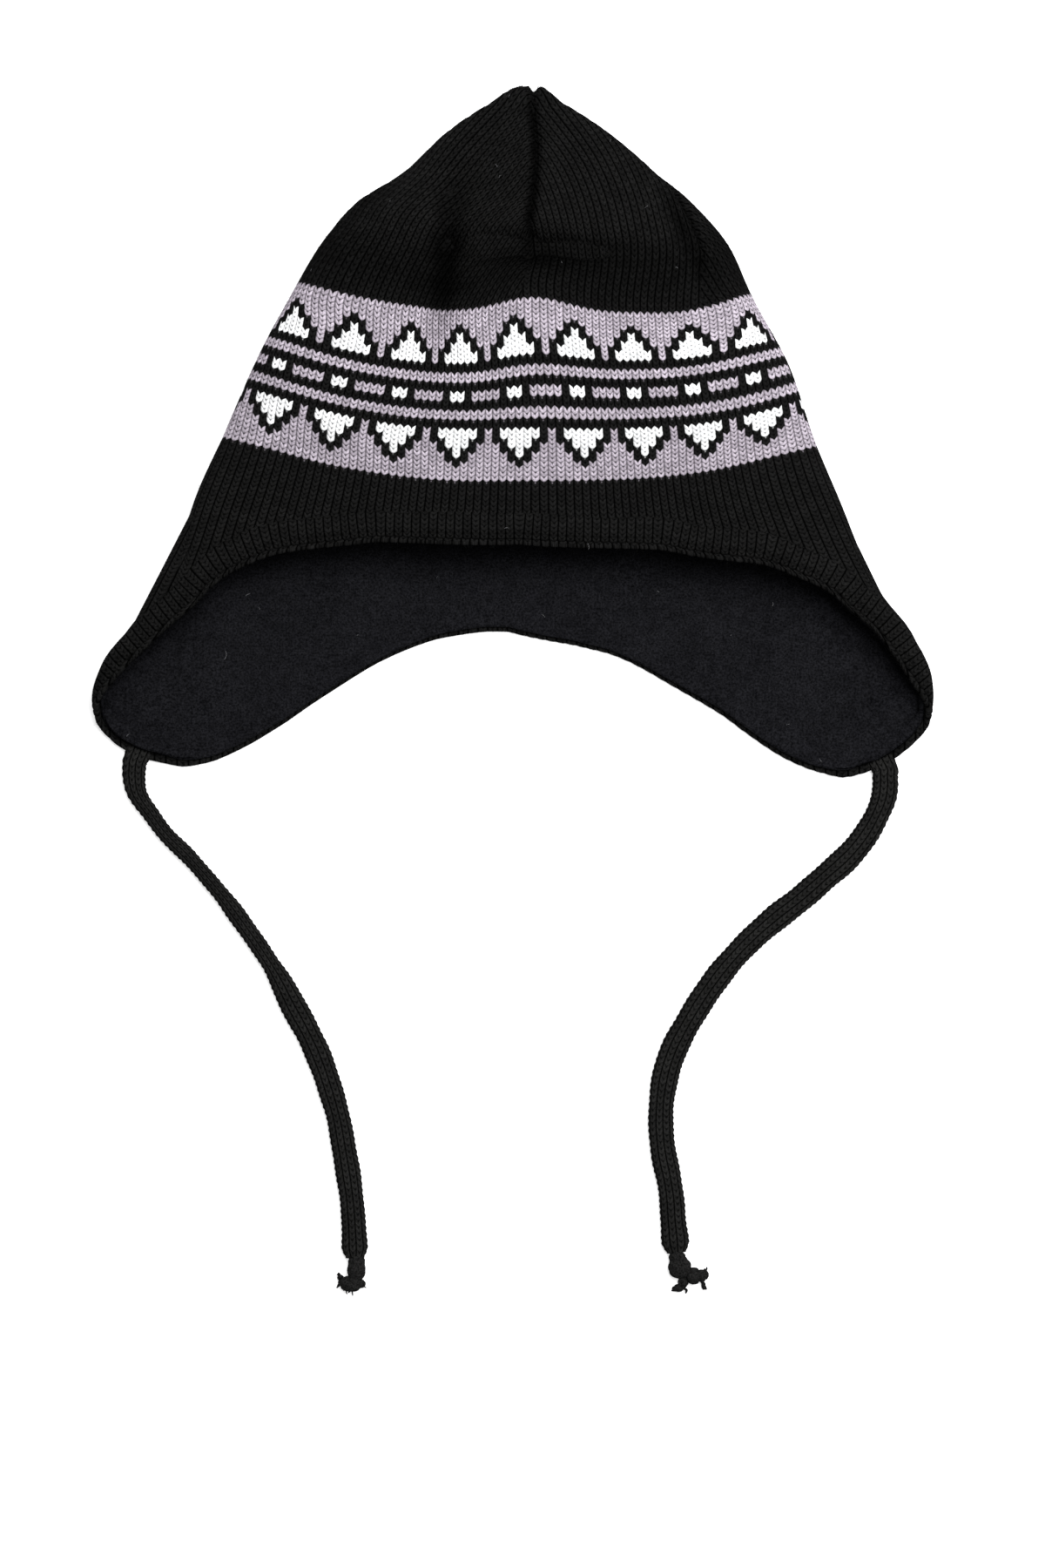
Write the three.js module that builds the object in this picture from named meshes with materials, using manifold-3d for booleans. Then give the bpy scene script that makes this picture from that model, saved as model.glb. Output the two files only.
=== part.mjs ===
// A knitted earflap beanie lying flat on its back: one knitted shell with a turned hem,
// a fleece lining inside it, and two knitted ties that end in a knot with a frayed tuft.
// Millimetres, +Z up. The origin is on the surface that the hat lies on, under the middle
// of the hat. +X runs across the hat to the right, +Y runs up the hat to the crown tip.
import * as THREE from 'three';
import Module from 'manifold-3d';
import { mergeVertices } from 'three/addons/utils/BufferGeometryUtils.js';

const wasm = await Module();
wasm.setup();

// A table with a name for each column, as one object for each line
function table(names, lines) {
  return lines.map((line) => Object.fromEntries(names.map((name, i) => [name, line[i]])));
}

// Driving sizes of the hat as it lies
const HAT_WIDTH = 344;
const HAT_LENGTH = 283.5;
const HAT_HEIGHT = 42;

// Walls, the turned hem and the seams
const KNIT_WALL = 2.2;
const FLEECE_WALL = 2.0;
const LAYER_GAP = 0.3;
const HEM_WIDTH = 12;
const HEM_BULGE = 0.8;
const HEM_GROOVE = 0.5;
const FLEECE_SETBACK = 2;
const SEAM_DEPTH = 2.0;
const SEAM_REACH = 3.0;
const SEAM_FADE_ROWS = 6;

// Ties: a flattened knitted tube, its knot and the frayed yarn behind the knot
const TIE_WIDTH = 10.4;
const TIE_THICKNESS = 5;
const TIE_SIDES = 10;
const TIE_STEPS = 34;
const TIE_GAP = 0.3;
const KNOT_NECK_WIDTH = 7.4;
const KNOT_NECK_LENGTH = 2.4;
const LOCK_LIFT = 0.4;

// Knitted rows, counted from the crown tip to the rim
const LAST_CROWN_ROW = 43;
const LAST_BAND_ROW = 79;
const ROWS_PER_LENGTH = 142;

// Shape of a course loop: squareness of its upper and of its lower half
const FRONT_SQUARENESS = 2.3;
const BACK_SQUARENESS = 6;
const FLOOR_PRESS = 0.6;

// Course loops, from the tip down. left, right: ends of the loop as shares of half HAT_WIDTH.
// leftDrop, rightDrop: how far down the hat those ends are, and sag: how much lower the middle
// is, as shares of HAT_LENGTH. top, fold: heights as shares of HAT_HEIGHT. wave: how far the
// front is pushed up beside the middle, as a share of HAT_LENGTH.
const COURSES = table(
  ['row', 'left', 'right', 'leftDrop', 'rightDrop', 'sag', 'top', 'fold', 'wave'],
  [
    [0, 0.0385, 0.0385, 0, 0, 0, 0.22, 0.22, 0],
    [1.2, 0.006, 0.069, 0.0013, 0.0013, 0.003, 0.29, 0.22, 0],
    [5, -0.056, 0.124, 0.0235, 0.0235, 0.019, 0.37, 0.22, 0],
    [12, -0.156, 0.226, 0.067, 0.067, 0.034, 0.51, 0.23, 0],
    [20, -0.26, 0.328, 0.127, 0.119, 0.042, 0.69, 0.25, 0],
    [28, -0.381, 0.431, 0.174, 0.174, 0.05, 0.86, 0.26, 0.006],
    [36, -0.452, 0.518, 0.227, 0.237, 0.045, 0.96, 0.27, 0.014],
    [43, -0.511, 0.566, 0.287, 0.301, 0.036, 1, 0.27, 0.018],
    [61, -0.605, 0.661, 0.3915, 0.409, 0.057, 0.93, 0.27, 0.006],
    [79, -0.694, 0.727, 0.514, 0.525, 0.061, 0.81, 0.27, 0],
    [91, -0.752, 0.7815, 0.591, 0.604, 0.068, 0.74, 0.28, 0],
    [103, -0.796, 0.833, 0.672, 0.681, 0.071, 0.74, 0.29, 0],
    [112, -0.835, 0.881, 0.73, 0.739, 0.071, 0.74, 0.29, 0],
    [122, -0.911, 0.952, 0.785, 0.794, 0.071, 0.72, 0.29, 0],
    [132, -0.975, 0.994, 0.8435, 0.861, 0.071, 0.68, 0.28, 0],
    [140, -1, 1, 0.898, 0.917, 0.071, 0.6, 0.27, 0],
    [150, -1, 1, 0.969, 0.988, 0.071, 0.5, 0.26, 0],
  ],
);
const WAVE_PLACE = 0.055;
const WAVE_REACH = 0.105;

// Last row before the rim, by the turn from the front middle (0) over the fold (90) to the
// back middle (180), in degrees, on the left and on the right side: the rim dips to the flaps.
const RIM = table(
  ['turn', 'left', 'right'],
  [
    [0, 91, 91], [36, 92.6, 93.4], [46, 94.5, 95.8], [55, 96.5, 98], [62, 98.5, 99.7],
    [70, 102.5, 104], [77, 109, 109.5], [80, 117, 116.5], [82, 124, 124], [84, 130, 130],
    [86.5, 135, 134], [89.5, 139.8, 138], [94, 144.3, 142.2], [99, 147.2, 145.6], [104, 148.2, 147.6],
    [110, 148.2, 148.3], [116, 146.5, 146.4], [122.5, 142.9, 143], [132, 135.7, 135.8], [140, 128, 130.2],
    [148, 120.4, 124.5], [156, 116.2, 120.5], [164.5, 113.3, 117.6], [172, 110.6, 114], [180, 110.7, 110.7],
  ],
);

// Dents (deep < 0) and bulges of the front. x: share of half HAT_WIDTH. drop: share of
// HAT_LENGTH. angle: turn of the long axis from +X, in degrees. long, wide: half length and
// half width as shares of HAT_WIDTH. deep: share of HAT_HEIGHT.
const DENTS = table(
  ['x', 'drop', 'angle', 'long', 'wide', 'deep'],
  [
    [0.06, 0.249, -3, 0.078, 0.0136, -0.22],
    [-0.16, 0.267, 84, 0.058, 0.0115, -0.16],
    [-0.105, 0.14, 64, 0.055, 0.017, -0.1],
    [0.4, 0.212, -67, 0.052, 0.0094, -0.15],
    [-0.345, 0.17, -140, 0.037, 0.0094, -0.1],
    [0.03, 0.215, 0, 0.07, 0.016, 0.06],
    [0.06, 0.14, 0, 0.09, 0.045, 0.09],
    [-0.175, 0.308, 0, 0.03, 0.015, -0.05],
  ],
);

// The four crown seams: their turn in degrees near the tip and at their lower end. The right
// one comes round from the back on to the front.
const SEAMS = table(
  ['tipTurn', 'endTurn'],
  [
    [8, 2],
    [94, 78],
    [180, 180],
    [266, 273],
  ],
);
const SEAM_TURN_FROM = 14;
const SEAM_TURN_TO = 34;

// Grid of the faceted hat: columns of one half in degrees of turn, rows of the crown and the
// band, and shares of the stretch below the band and of the hem above its edge
const COLUMNS = [
  0, 8, 17, 27, 37, 47, 57, 66, 73, 78, 82, 86, 90, 94, 98, 103, 109, 117, 126, 136, 146, 156, 168,
];
const FIRST_INNER_ROW = 6;
const UPPER_ROWS = [1.2, 3, 6, 10, 15, 21, 27, 32, 36, 39.5, 43, 49, 55, 61, 67, 73, 79];
const SKIRT_SHARES = [0.3, 0.6, 0.85, 1];
const HEM_SHARES = [0.25, 0.6];

// Ties: the turn at which each leaves the rim, and the middle line that it lies in, as steps
// in X and Y from the exit. The first stretch runs straight out of the rim.
const TIES = [
  {
    side: 'left',
    turn: 258,
    route: [
      [-1.3, -4.9], [-1.4, -9.2], [-0.5, -14.8], [1.6, -19], [4.8, -23.4], [11.6, -32.6], [21.1, -42],
      [28.7, -50.6], [36.5, -60], [44.4, -70.8], [51.2, -80.5], [58, -91.3], [64.1, -103.2],
      [70, -114], [75, -124.8], [79.2, -136.7], [83, -150], [85.2, -162.2], [87.2, -174.1],
      [88.7, -186], [89.5, -198.2], [89.8, -207.6],
    ],
    locks: [
      { out: 4.6, along: 10.6, root: 2.3, tip: 0.9 },
      { out: 6.2, along: 7.0, root: 1.8, tip: 0.8 },
      { out: 1.0, along: 12.4, root: 2.6, tip: 1.2 },
      { out: -3.2, along: 10.8, root: 2.2, tip: 0.8 },
    ],
    knot: { width: 9.2, length: 10.5, height: 6.4 },
  },
  {
    side: 'right',
    turn: 103,
    route: [
      [1, -4.4], [1.1, -7.8], [0.4, -13.8], [-2.4, -21], [-7.2, -29.4], [-14, -37.8], [-24, -46.8],
      [-33.6, -55.2], [-44.4, -63.6], [-54, -72], [-63.6, -82.2], [-71.4, -92.4], [-78, -102.6],
      [-85.3, -115.8], [-88.7, -124.8], [-90.6, -133.8], [-91.5, -142.8], [-91.4, -151.8],
      [-90.4, -160.8], [-88.5, -169.8], [-87.1, -178.8], [-86.5, -187.8], [-85.6, -196.8],
      [-85.1, -201.5],
    ],
    locks: [
      { out: -10.4, along: 9.0, root: 3.0, tip: 1.4 },
      { out: -11.0, along: 12.0, root: 2.0, tip: 0.8 },
      { out: 0.6, along: 15.4, root: 2.4, tip: 1.2 },
      { out: -3.0, along: 15.0, root: 2.0, tip: 0.8 },
    ],
    knot: { width: 9.6, length: 9.6, height: 6.4 },
  },
];

const DEGREE = Math.PI / 180;

// A smooth curve through the points (places, values) that never overshoots them
function curveThrough(places, values) {
  const last = places.length - 1;
  const step = [];
  const slope = [];
  for (let i = 0; i < last; i++) {
    step.push(places[i + 1] - places[i]);
    slope.push((values[i + 1] - values[i]) / step[i]);
  }
  const tangent = [slope[0]];
  for (let i = 1; i < last; i++) {
    const before = 2 * step[i] + step[i - 1];
    const after = step[i] + 2 * step[i - 1];
    const turns = slope[i - 1] * slope[i] <= 0;
    tangent.push(turns ? 0 : (before + after) / (before / slope[i - 1] + after / slope[i]));
  }
  tangent.push(slope[last - 1]);
  return (place) => {
    const at = Math.min(Math.max(place, places[0]), places[last]);
    let i = 0;
    while (i < last - 1 && at > places[i + 1]) i++;
    const t = (at - places[i]) / step[i];
    const rest = 1 - t;
    return values[i] * (1 + 2 * t) * rest * rest + values[i + 1] * t * t * (3 - 2 * t)
      + step[i] * t * rest * (tangent[i] * rest - tangent[i + 1] * t);
  };
}

const column = (table, name) => table.map((line) => line[name]);
const courseCurves = {};
for (const name of ['left', 'right', 'leftDrop', 'rightDrop', 'sag', 'top', 'fold', 'wave']) {
  courseCurves[name] = curveThrough(column(COURSES, 'row'), column(COURSES, name));
}
const rimCurves = {
  left: curveThrough(column(RIM, 'turn'), column(RIM, 'left')),
  right: curveThrough(column(RIM, 'turn'), column(RIM, 'right')),
};

// The rim's row at a turn from 0 to 360 degrees: the right side is 0 to 180
function rimRow(turn) {
  return turn <= 180 ? rimCurves.right(turn) : rimCurves.left(360 - turn);
}

// A quarter of a course loop: the point that lies a share of the way from its middle (0) to
// the fold (1), as shares of its half width and of its rise
function quarterPoint(share, halfWidth, rise, squareness) {
  const samples = 40;
  const power = 2 / squareness;
  const across = (angle) => Math.sin(angle) ** power;
  const up = (angle) => Math.max(0, Math.cos(angle)) ** power;
  const lengths = [0];
  for (let i = 1; i <= samples; i++) {
    const a = (i - 1) / samples * Math.PI / 2;
    const b = i / samples * Math.PI / 2;
    const piece = Math.hypot(halfWidth * (across(b) - across(a)), rise * (up(b) - up(a)));
    lengths.push(lengths[i - 1] + piece);
  }
  const goal = share * lengths[samples];
  let i = 1;
  while (i < samples && lengths[i] < goal) i++;
  const part = (goal - lengths[i - 1]) / Math.max(lengths[i] - lengths[i - 1], 1e-9);
  const angle = (i - 1 + part) / samples * Math.PI / 2;
  return { across: across(angle), up: up(angle), length: lengths[samples] };
}

// How much the dents and bulges raise the front at a place
function dentHeight(x, y) {
  let height = 0;
  for (const dent of DENTS) {
    const dx = x - dent.x * HAT_WIDTH / 2;
    const dy = y - (0.5 - dent.drop) * HAT_LENGTH;
    const along = dx * Math.cos(dent.angle * DEGREE) + dy * Math.sin(dent.angle * DEGREE);
    const beside = dy * Math.cos(dent.angle * DEGREE) - dx * Math.sin(dent.angle * DEGREE);
    const fall = (along / (dent.long * HAT_WIDTH)) ** 2 + (beside / (dent.wide * HAT_WIDTH)) ** 2;
    height += dent.deep * HAT_HEIGHT * Math.exp(-fall / 2);
  }
  return height;
}

// A point of the hat's outer face, before seams and hem, at a row and a turn in degrees
function facePoint(row, turn) {
  const value = (name) => courseCurves[name](row);
  const wrapped = ((turn % 360) + 360) % 360;
  const side = wrapped <= 180 ? 1 : -1;
  const away = wrapped <= 180 ? wrapped : 360 - wrapped;
  const front = away <= 90;
  const left = value('left') * HAT_WIDTH / 2;
  const right = value('right') * HAT_WIDTH / 2;
  const halfWidth = Math.max((right - left) / 2, 1e-6);
  const fold = value('fold') * HAT_HEIGHT;
  const rise = front ? value('top') * HAT_HEIGHT - fold : fold + FLOOR_PRESS;
  const share = front ? away / 90 : (180 - away) / 90;
  const quarter = quarterPoint(share, halfWidth, rise, front ? FRONT_SQUARENESS : BACK_SQUARENESS);
  const across = side * quarter.across;
  const x = (left + right) / 2 + halfWidth * across;
  const ends = value('leftDrop') * (1 - across) / 2 + value('rightDrop') * (1 + across) / 2;
  const wave = front ? value('wave') * Math.exp(-(((2 * x / HAT_WIDTH - WAVE_PLACE) / WAVE_REACH) ** 2)) : 0;
  const y = (0.5 - ends - value('sag') * (1 - across * across) + wave) * HAT_LENGTH;
  if (!front) return new THREE.Vector3(x, y, Math.max(0, fold - rise * quarter.up));
  const fade = Math.min(1, row / FIRST_INNER_ROW) * quarter.up;
  return new THREE.Vector3(x, y, fold + rise * quarter.up + dentHeight(x, y) * fade);
}

// The direction out of the face, from its neighbours
function faceNormal(row, turn) {
  const rowStep = 0.4;
  const turnStep = 1.5;
  const down = facePoint(row + rowStep, turn).sub(facePoint(Math.max(row - rowStep, 0.2), turn));
  const round = facePoint(row, turn + turnStep).sub(facePoint(row, turn - turnStep));
  return down.cross(round).normalize();
}

// How deep the nearest crown seam pulls the face in
function seamDepth(row, turn) {
  if (row >= LAST_CROWN_ROW) return 0;
  const halfWidth = (courseCurves.right(row) - courseCurves.left(row)) * HAT_WIDTH / 4;
  const fade = Math.min(1, (LAST_CROWN_ROW - row) / SEAM_FADE_ROWS, row / SEAM_FADE_ROWS);
  const along = THREE.MathUtils.smoothstep(row, SEAM_TURN_FROM, SEAM_TURN_TO);
  let depth = 0;
  for (const seam of SEAMS) {
    const seamTurn = seam.tipTurn + (seam.endTurn - seam.tipTurn) * along;
    const turned = Math.abs(((turn - seamTurn + 540) % 360) - 180);
    const distance = turned / 90 * halfWidth;
    depth += SEAM_DEPTH * fade * Math.exp(-((distance / SEAM_REACH) ** 2));
  }
  return depth;
}

// How far the turned hem stands out, by the distance from the rim
function hemHeight(distance) {
  const share = distance / HEM_WIDTH;
  const roll = share < 1 ? HEM_BULGE * Math.sqrt(Math.max(0, 1 - (2 * share - 1) ** 2)) : 0;
  return roll - HEM_GROOVE * Math.exp(-(((share - 1) / 0.15) ** 2));
}

const rowLength = HAT_LENGTH / ROWS_PER_LENGTH;
const turnsRound = [...COLUMNS, 180, ...COLUMNS.slice(1).reverse().map((turn) => 360 - turn)];

// The rows of one column down to its rim, less a setback. Faces inside the outer one leave out
// the rows beside the tip, where the gores meet in a lump.
function columnRows(turn, inset, setback) {
  const rim = rimRow(turn);
  const hem = HEM_WIDTH / rowLength;
  const hemTop = rim - hem;
  const upper = inset > 0 ? UPPER_ROWS.filter((row) => row >= FIRST_INNER_ROW) : UPPER_ROWS;
  const skirt = SKIRT_SHARES.map((share) => LAST_BAND_ROW + share * (hemTop - LAST_BAND_ROW));
  const edge = rim - setback / rowLength;
  return [...upper, ...skirt, ...HEM_SHARES.map((share) => hemTop + share * hem), edge];
}

// One face of a wall as points: inset is the distance in from the outer face
function wallPoints(inset, setback, hemmed) {
  const tip = facePoint(0, 0).add(new THREE.Vector3(0, -inset, 0));
  const rings = [];
  for (const turn of turnsRound) {
    const points = columnRows(turn, inset, setback).map((row) => {
      const proud = hemmed ? hemHeight((rimRow(turn) - row) * rowLength) : 0;
      const out = proud - seamDepth(row, turn) - inset;
      const point = facePoint(row, turn).addScaledVector(faceNormal(row, turn), out);
      point.z = Math.max(point.z, inset);
      return point;
    });
    rings.push(points);
  }
  return { tip, rings };
}

// A closed wall between an outer and an inner face, joined along the rim
function wallGeometry(outerInset, innerInset, setback, hemmed) {
  const positions = [];
  const faces = [];
  const addFace = (inset, outward, bulging) => {
    const { tip, rings } = wallPoints(inset, setback, bulging);
    const first = positions.length / 3;
    positions.push(tip.x, tip.y, tip.z);
    for (const ring of rings) for (const point of ring) positions.push(point.x, point.y, point.z);
    const rows = rings[0].length;
    const at = (c, r) => first + 1 + (c % rings.length) * rows + r;
    const add = (a, b, c) => faces.push(...(outward ? [a, b, c] : [a, c, b]));
    for (let c = 0; c < rings.length; c++) {
      add(first, at(c, 0), at(c + 1, 0));
      for (let r = 0; r + 1 < rows; r++) {
        add(at(c, r), at(c, r + 1), at(c + 1, r + 1));
        add(at(c, r), at(c + 1, r + 1), at(c + 1, r));
      }
    }
    return (c) => at(c, rows - 1);
  };
  const outerRim = addFace(outerInset, true, hemmed);
  const innerRim = addFace(innerInset, false, false);
  for (let c = 0; c < turnsRound.length; c++) {
    faces.push(outerRim(c), innerRim(c), innerRim(c + 1));
    faces.push(outerRim(c), innerRim(c + 1), outerRim(c + 1));
  }
  const geometry = new THREE.BufferGeometry();
  geometry.setAttribute('position', new THREE.Float32BufferAttribute(positions, 3));
  geometry.setIndex(faces);
  return geometry;
}

// Where a tie leaves the rim and the level direction in which it runs out
function tieExit(tie) {
  const rim = (turn) => facePoint(rimRow(turn), turn);
  const along = rim(tie.turn + 2).sub(rim(tie.turn - 2));
  const out = new THREE.Vector3(along.y, -along.x, 0).normalize();
  if (out.y > 0) out.negate();
  const start = rim(tie.turn).addScaledVector(out, TIE_GAP);
  start.z = TIE_THICKNESS / 2;
  return { start, out };
}

// The middle line of a tie, from the rim to its knot
function tieCurve(tie) {
  const { start, out } = tieExit(tie);
  const points = [start, start.clone().addScaledVector(out, TIE_THICKNESS / 2)];
  for (const [x, y] of tie.route) points.push(start.clone().add(new THREE.Vector3(x, y, 0)));
  return new THREE.CatmullRomCurve3(points, false, 'centripetal');
}

// The flattened section of a tie: across is its upright axis, because it lies on its side
function tieSection() {
  const corners = [];
  for (let i = 0; i < TIE_SIDES; i++) {
    const angle = (i + 0.5) / TIE_SIDES * 2 * Math.PI;
    const flat = Math.sign(Math.sin(angle)) * Math.abs(Math.sin(angle)) ** 0.8;
    corners.push(new THREE.Vector2(Math.cos(angle) * TIE_THICKNESS / 2, flat * TIE_WIDTH / 2));
  }
  return new THREE.Shape(corners);
}

function tieGeometry(tie) {
  const options = { steps: TIE_STEPS, bevelEnabled: false, extrudePath: tieCurve(tie) };
  return new THREE.ExtrudeGeometry(tieSection(), options);
}

// A closed geometry as a solid that can be joined
function toSolid(geometry) {
  const plain = geometry.index ? geometry.toNonIndexed() : geometry.clone();
  plain.deleteAttribute('normal');
  plain.deleteAttribute('uv');
  const merged = mergeVertices(plain, 1e-5);
  return new wasm.Manifold(new wasm.Mesh({
    numProp: 3,
    vertProperties: merged.attributes.position.array,
    triVerts: new Uint32Array(merged.index.array),
  }));
}

function toGeometry(solid) {
  const mesh = solid.getMesh();
  const geometry = new THREE.BufferGeometry();
  geometry.setAttribute('position', new THREE.BufferAttribute(mesh.vertProperties, 3));
  geometry.setIndex(new THREE.BufferAttribute(mesh.triVerts, 1));
  return geometry;
}

// A tapered lock of yarn from one point to another
function lockGeometry(from, to, rootRadius, tipRadius) {
  const span = to.clone().sub(from);
  const geometry = new THREE.CylinderGeometry(tipRadius, rootRadius, span.length(), 6);
  const up = new THREE.Vector3(0, 1, 0);
  geometry.applyQuaternion(new THREE.Quaternion().setFromUnitVectors(up, span.clone().normalize()));
  geometry.translate((from.x + to.x) / 2, (from.y + to.y) / 2, (from.z + to.z) / 2);
  return geometry;
}

// A knot with its neck and frayed locks, in its own frame: the tie comes in along +Y to the
// origin, X is to the tie's left and Z is up from the middle of the tie
function tieEndGeometry(tie) {
  const { knot } = tie;
  const ball = new THREE.SphereGeometry(0.5, 12, 8);
  ball.scale(knot.width, knot.length, knot.height);
  const ballMiddle = KNOT_NECK_LENGTH / 2 + knot.length / 2;
  const lift = (knot.height - TIE_THICKNESS) / 2;
  ball.translate(0, ballMiddle, lift);
  const neck = new THREE.CylinderGeometry(0.5, 0.5, KNOT_NECK_LENGTH, 10);
  neck.scale(KNOT_NECK_WIDTH, 1, TIE_THICKNESS * 0.86);
  neck.translate(0, KNOT_NECK_LENGTH / 2, 0);
  let solid = toSolid(ball).add(toSolid(neck));
  for (const lock of tie.locks) {
    const floor = LOCK_LIFT - TIE_THICKNESS / 2;
    const root = new THREE.Vector3(lock.out * 0.15, ballMiddle + knot.length * 0.15, lock.root + floor);
    const tip = new THREE.Vector3(lock.out, lock.along, lock.tip + floor);
    solid = solid.add(toSolid(lockGeometry(root, tip, lock.root, lock.tip)));
  }
  return toGeometry(solid);
}

function material(colour, roughness) {
  return new THREE.MeshStandardMaterial({ color: colour, roughness, metalness: 0 });
}

function piece(name, geometry, look) {
  const mesh = new THREE.Mesh(geometry, look);
  mesh.name = name;
  return mesh;
}

// A tie's knot, placed at the end of its tie and turned along it
function tieEnd(tie, look) {
  const curve = tieCurve(tie);
  const end = curve.getPoint(1);
  const along = curve.getTangent(1);
  const mesh = piece(`tie_end_${tie.side}`, tieEndGeometry(tie), look);
  mesh.position.copy(end).addScaledVector(along, TIE_GAP);
  mesh.rotation.z = Math.atan2(along.y, along.x) - Math.PI / 2;
  return mesh;
}

const yarn = material(0x1e1e1c, 0.95);
const fleece = material(0x1a1a1f, 1);
const hat = new THREE.Group();
hat.add(piece('knit_shell', wallGeometry(0, KNIT_WALL, 0, true), yarn));
const liningOuter = KNIT_WALL + LAYER_GAP;
const liningInner = liningOuter + FLEECE_WALL;
hat.add(piece('fleece_lining', wallGeometry(liningOuter, liningInner, FLEECE_SETBACK, false), fleece));
for (const tie of TIES) {
  hat.add(piece(`tie_cord_${tie.side}`, tieGeometry(tie), yarn));
  hat.add(tieEnd(tie, yarn));
}

export default hat;
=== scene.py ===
"""The looks of a knitted earflap beanie that lies flat on its back: the knitted shell with its
patterned band and turned hem, the fleece lining, and two knitted ties with frayed ends.
Metres, +Z up. The hat's courses are counted in knitted rows from the crown tip to the rim, and
its wales in degrees of turn from the front middle (0) over the right fold (90) to the back (180).
"""
import math

import bpy
import numpy as np
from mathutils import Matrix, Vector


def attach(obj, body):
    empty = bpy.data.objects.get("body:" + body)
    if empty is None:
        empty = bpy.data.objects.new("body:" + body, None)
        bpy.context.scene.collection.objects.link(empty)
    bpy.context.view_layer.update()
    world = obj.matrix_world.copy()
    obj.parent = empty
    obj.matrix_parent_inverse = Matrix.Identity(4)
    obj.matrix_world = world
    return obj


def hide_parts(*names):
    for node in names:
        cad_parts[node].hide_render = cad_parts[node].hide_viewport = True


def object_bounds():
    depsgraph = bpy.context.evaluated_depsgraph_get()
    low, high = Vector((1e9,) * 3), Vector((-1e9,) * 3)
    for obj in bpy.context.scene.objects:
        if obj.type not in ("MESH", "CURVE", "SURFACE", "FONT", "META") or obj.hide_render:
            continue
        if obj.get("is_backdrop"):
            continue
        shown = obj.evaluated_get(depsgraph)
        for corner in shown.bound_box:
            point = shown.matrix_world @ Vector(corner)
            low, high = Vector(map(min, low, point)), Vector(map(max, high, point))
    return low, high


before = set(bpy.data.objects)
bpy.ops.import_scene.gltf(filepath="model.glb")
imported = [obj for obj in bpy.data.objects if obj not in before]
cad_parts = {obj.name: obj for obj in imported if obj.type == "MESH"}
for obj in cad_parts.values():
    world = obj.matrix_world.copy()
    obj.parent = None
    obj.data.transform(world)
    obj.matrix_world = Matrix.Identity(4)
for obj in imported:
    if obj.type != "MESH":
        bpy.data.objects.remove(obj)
cad_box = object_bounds()

MM = 0.001
ABOVE_FLOOR = 0.02 * MM

# Driving sizes, as the solids have them
HAT_WIDTH = 344 * MM
HAT_LENGTH = 283.5 * MM
HAT_HEIGHT = 42 * MM
KNIT_WALL = 2.2 * MM
FLEECE_WALL = 2.0 * MM
LAYER_GAP = 0.3 * MM
HEM_WIDTH = 12 * MM
HEM_BULGE = 0.8 * MM
HEM_GROOVE = 0.9 * MM
HEM_BAND_TO = 112
HEM_STITCH = 3.5 * MM
HEM_EDGE = 1.1 * MM
FLEECE_SETBACK = 2 * MM
TIP_NOTCH = 2.2 * MM
TIP_NOTCH_X = 8.4 * MM
SEAM_DEPTH = 3 * MM
SEAM_REACH = 1.9 * MM
SEAM_FADE_ROWS = 6
TIE_WIDTH = 10.4 * MM
TIE_THICKNESS = 5 * MM
TIE_GAP = 0.3 * MM

# Knitted rows and stitches
LAST_CROWN_ROW = 43
LAST_BAND_ROW = 79
ROWS_PER_LENGTH = 142
ROW_LENGTH = HAT_LENGTH / ROWS_PER_LENGTH
STITCHES_ROUND = 152
STITCH_TURN = 360 / STITCHES_ROUND
WALE_RIDGE = 0.5 * MM

# Shape of a course loop: squareness of its upper and of its lower half
FRONT_SQUARENESS = 2.3
BACK_SQUARENESS = 6
FLOOR_PRESS = 0.6 * MM

# Course loops from the tip down. left, right: ends as shares of half HAT_WIDTH. left_drop,
# right_drop: how far down the ends are, sag: how much lower the middle is, wave: how far the
# front is pushed up, as shares of HAT_LENGTH. top, fold: heights as shares of HAT_HEIGHT.
COURSE_NAMES = ("row", "left", "right", "left_drop", "right_drop", "sag", "top", "fold", "wave")
COURSES = (
    (0, 0.0385, 0.0385, 0, 0, 0, 0.22, 0.22, 0),
    (1.2, 0.006, 0.069, 0.0013, 0.0013, 0.003, 0.29, 0.22, 0),
    (5, -0.056, 0.124, 0.0235, 0.0235, 0.019, 0.37, 0.22, 0),
    (12, -0.156, 0.226, 0.067, 0.067, 0.034, 0.51, 0.23, 0),
    (20, -0.26, 0.328, 0.127, 0.119, 0.042, 0.69, 0.25, 0),
    (28, -0.381, 0.431, 0.174, 0.174, 0.05, 0.86, 0.26, 0.006),
    (36, -0.452, 0.518, 0.227, 0.237, 0.045, 0.96, 0.27, 0.014),
    (43, -0.511, 0.566, 0.287, 0.301, 0.036, 1, 0.27, 0.018),
    (61, -0.605, 0.661, 0.3915, 0.409, 0.057, 0.93, 0.27, 0.006),
    (79, -0.694, 0.727, 0.514, 0.525, 0.061, 0.81, 0.27, 0),
    (91, -0.752, 0.7815, 0.591, 0.604, 0.068, 0.74, 0.28, 0),
    (103, -0.796, 0.833, 0.672, 0.681, 0.071, 0.74, 0.29, 0),
    (112, -0.835, 0.881, 0.73, 0.739, 0.071, 0.74, 0.29, 0),
    (122, -0.911, 0.952, 0.785, 0.794, 0.071, 0.72, 0.29, 0),
    (132, -0.975, 0.994, 0.8435, 0.861, 0.071, 0.68, 0.28, 0),
    (140, -1, 1, 0.898, 0.917, 0.071, 0.6, 0.27, 0),
    (150, -1, 1, 0.969, 0.988, 0.071, 0.5, 0.26, 0),
)
WAVE_PLACE = 0.055
WAVE_REACH = 0.105

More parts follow.
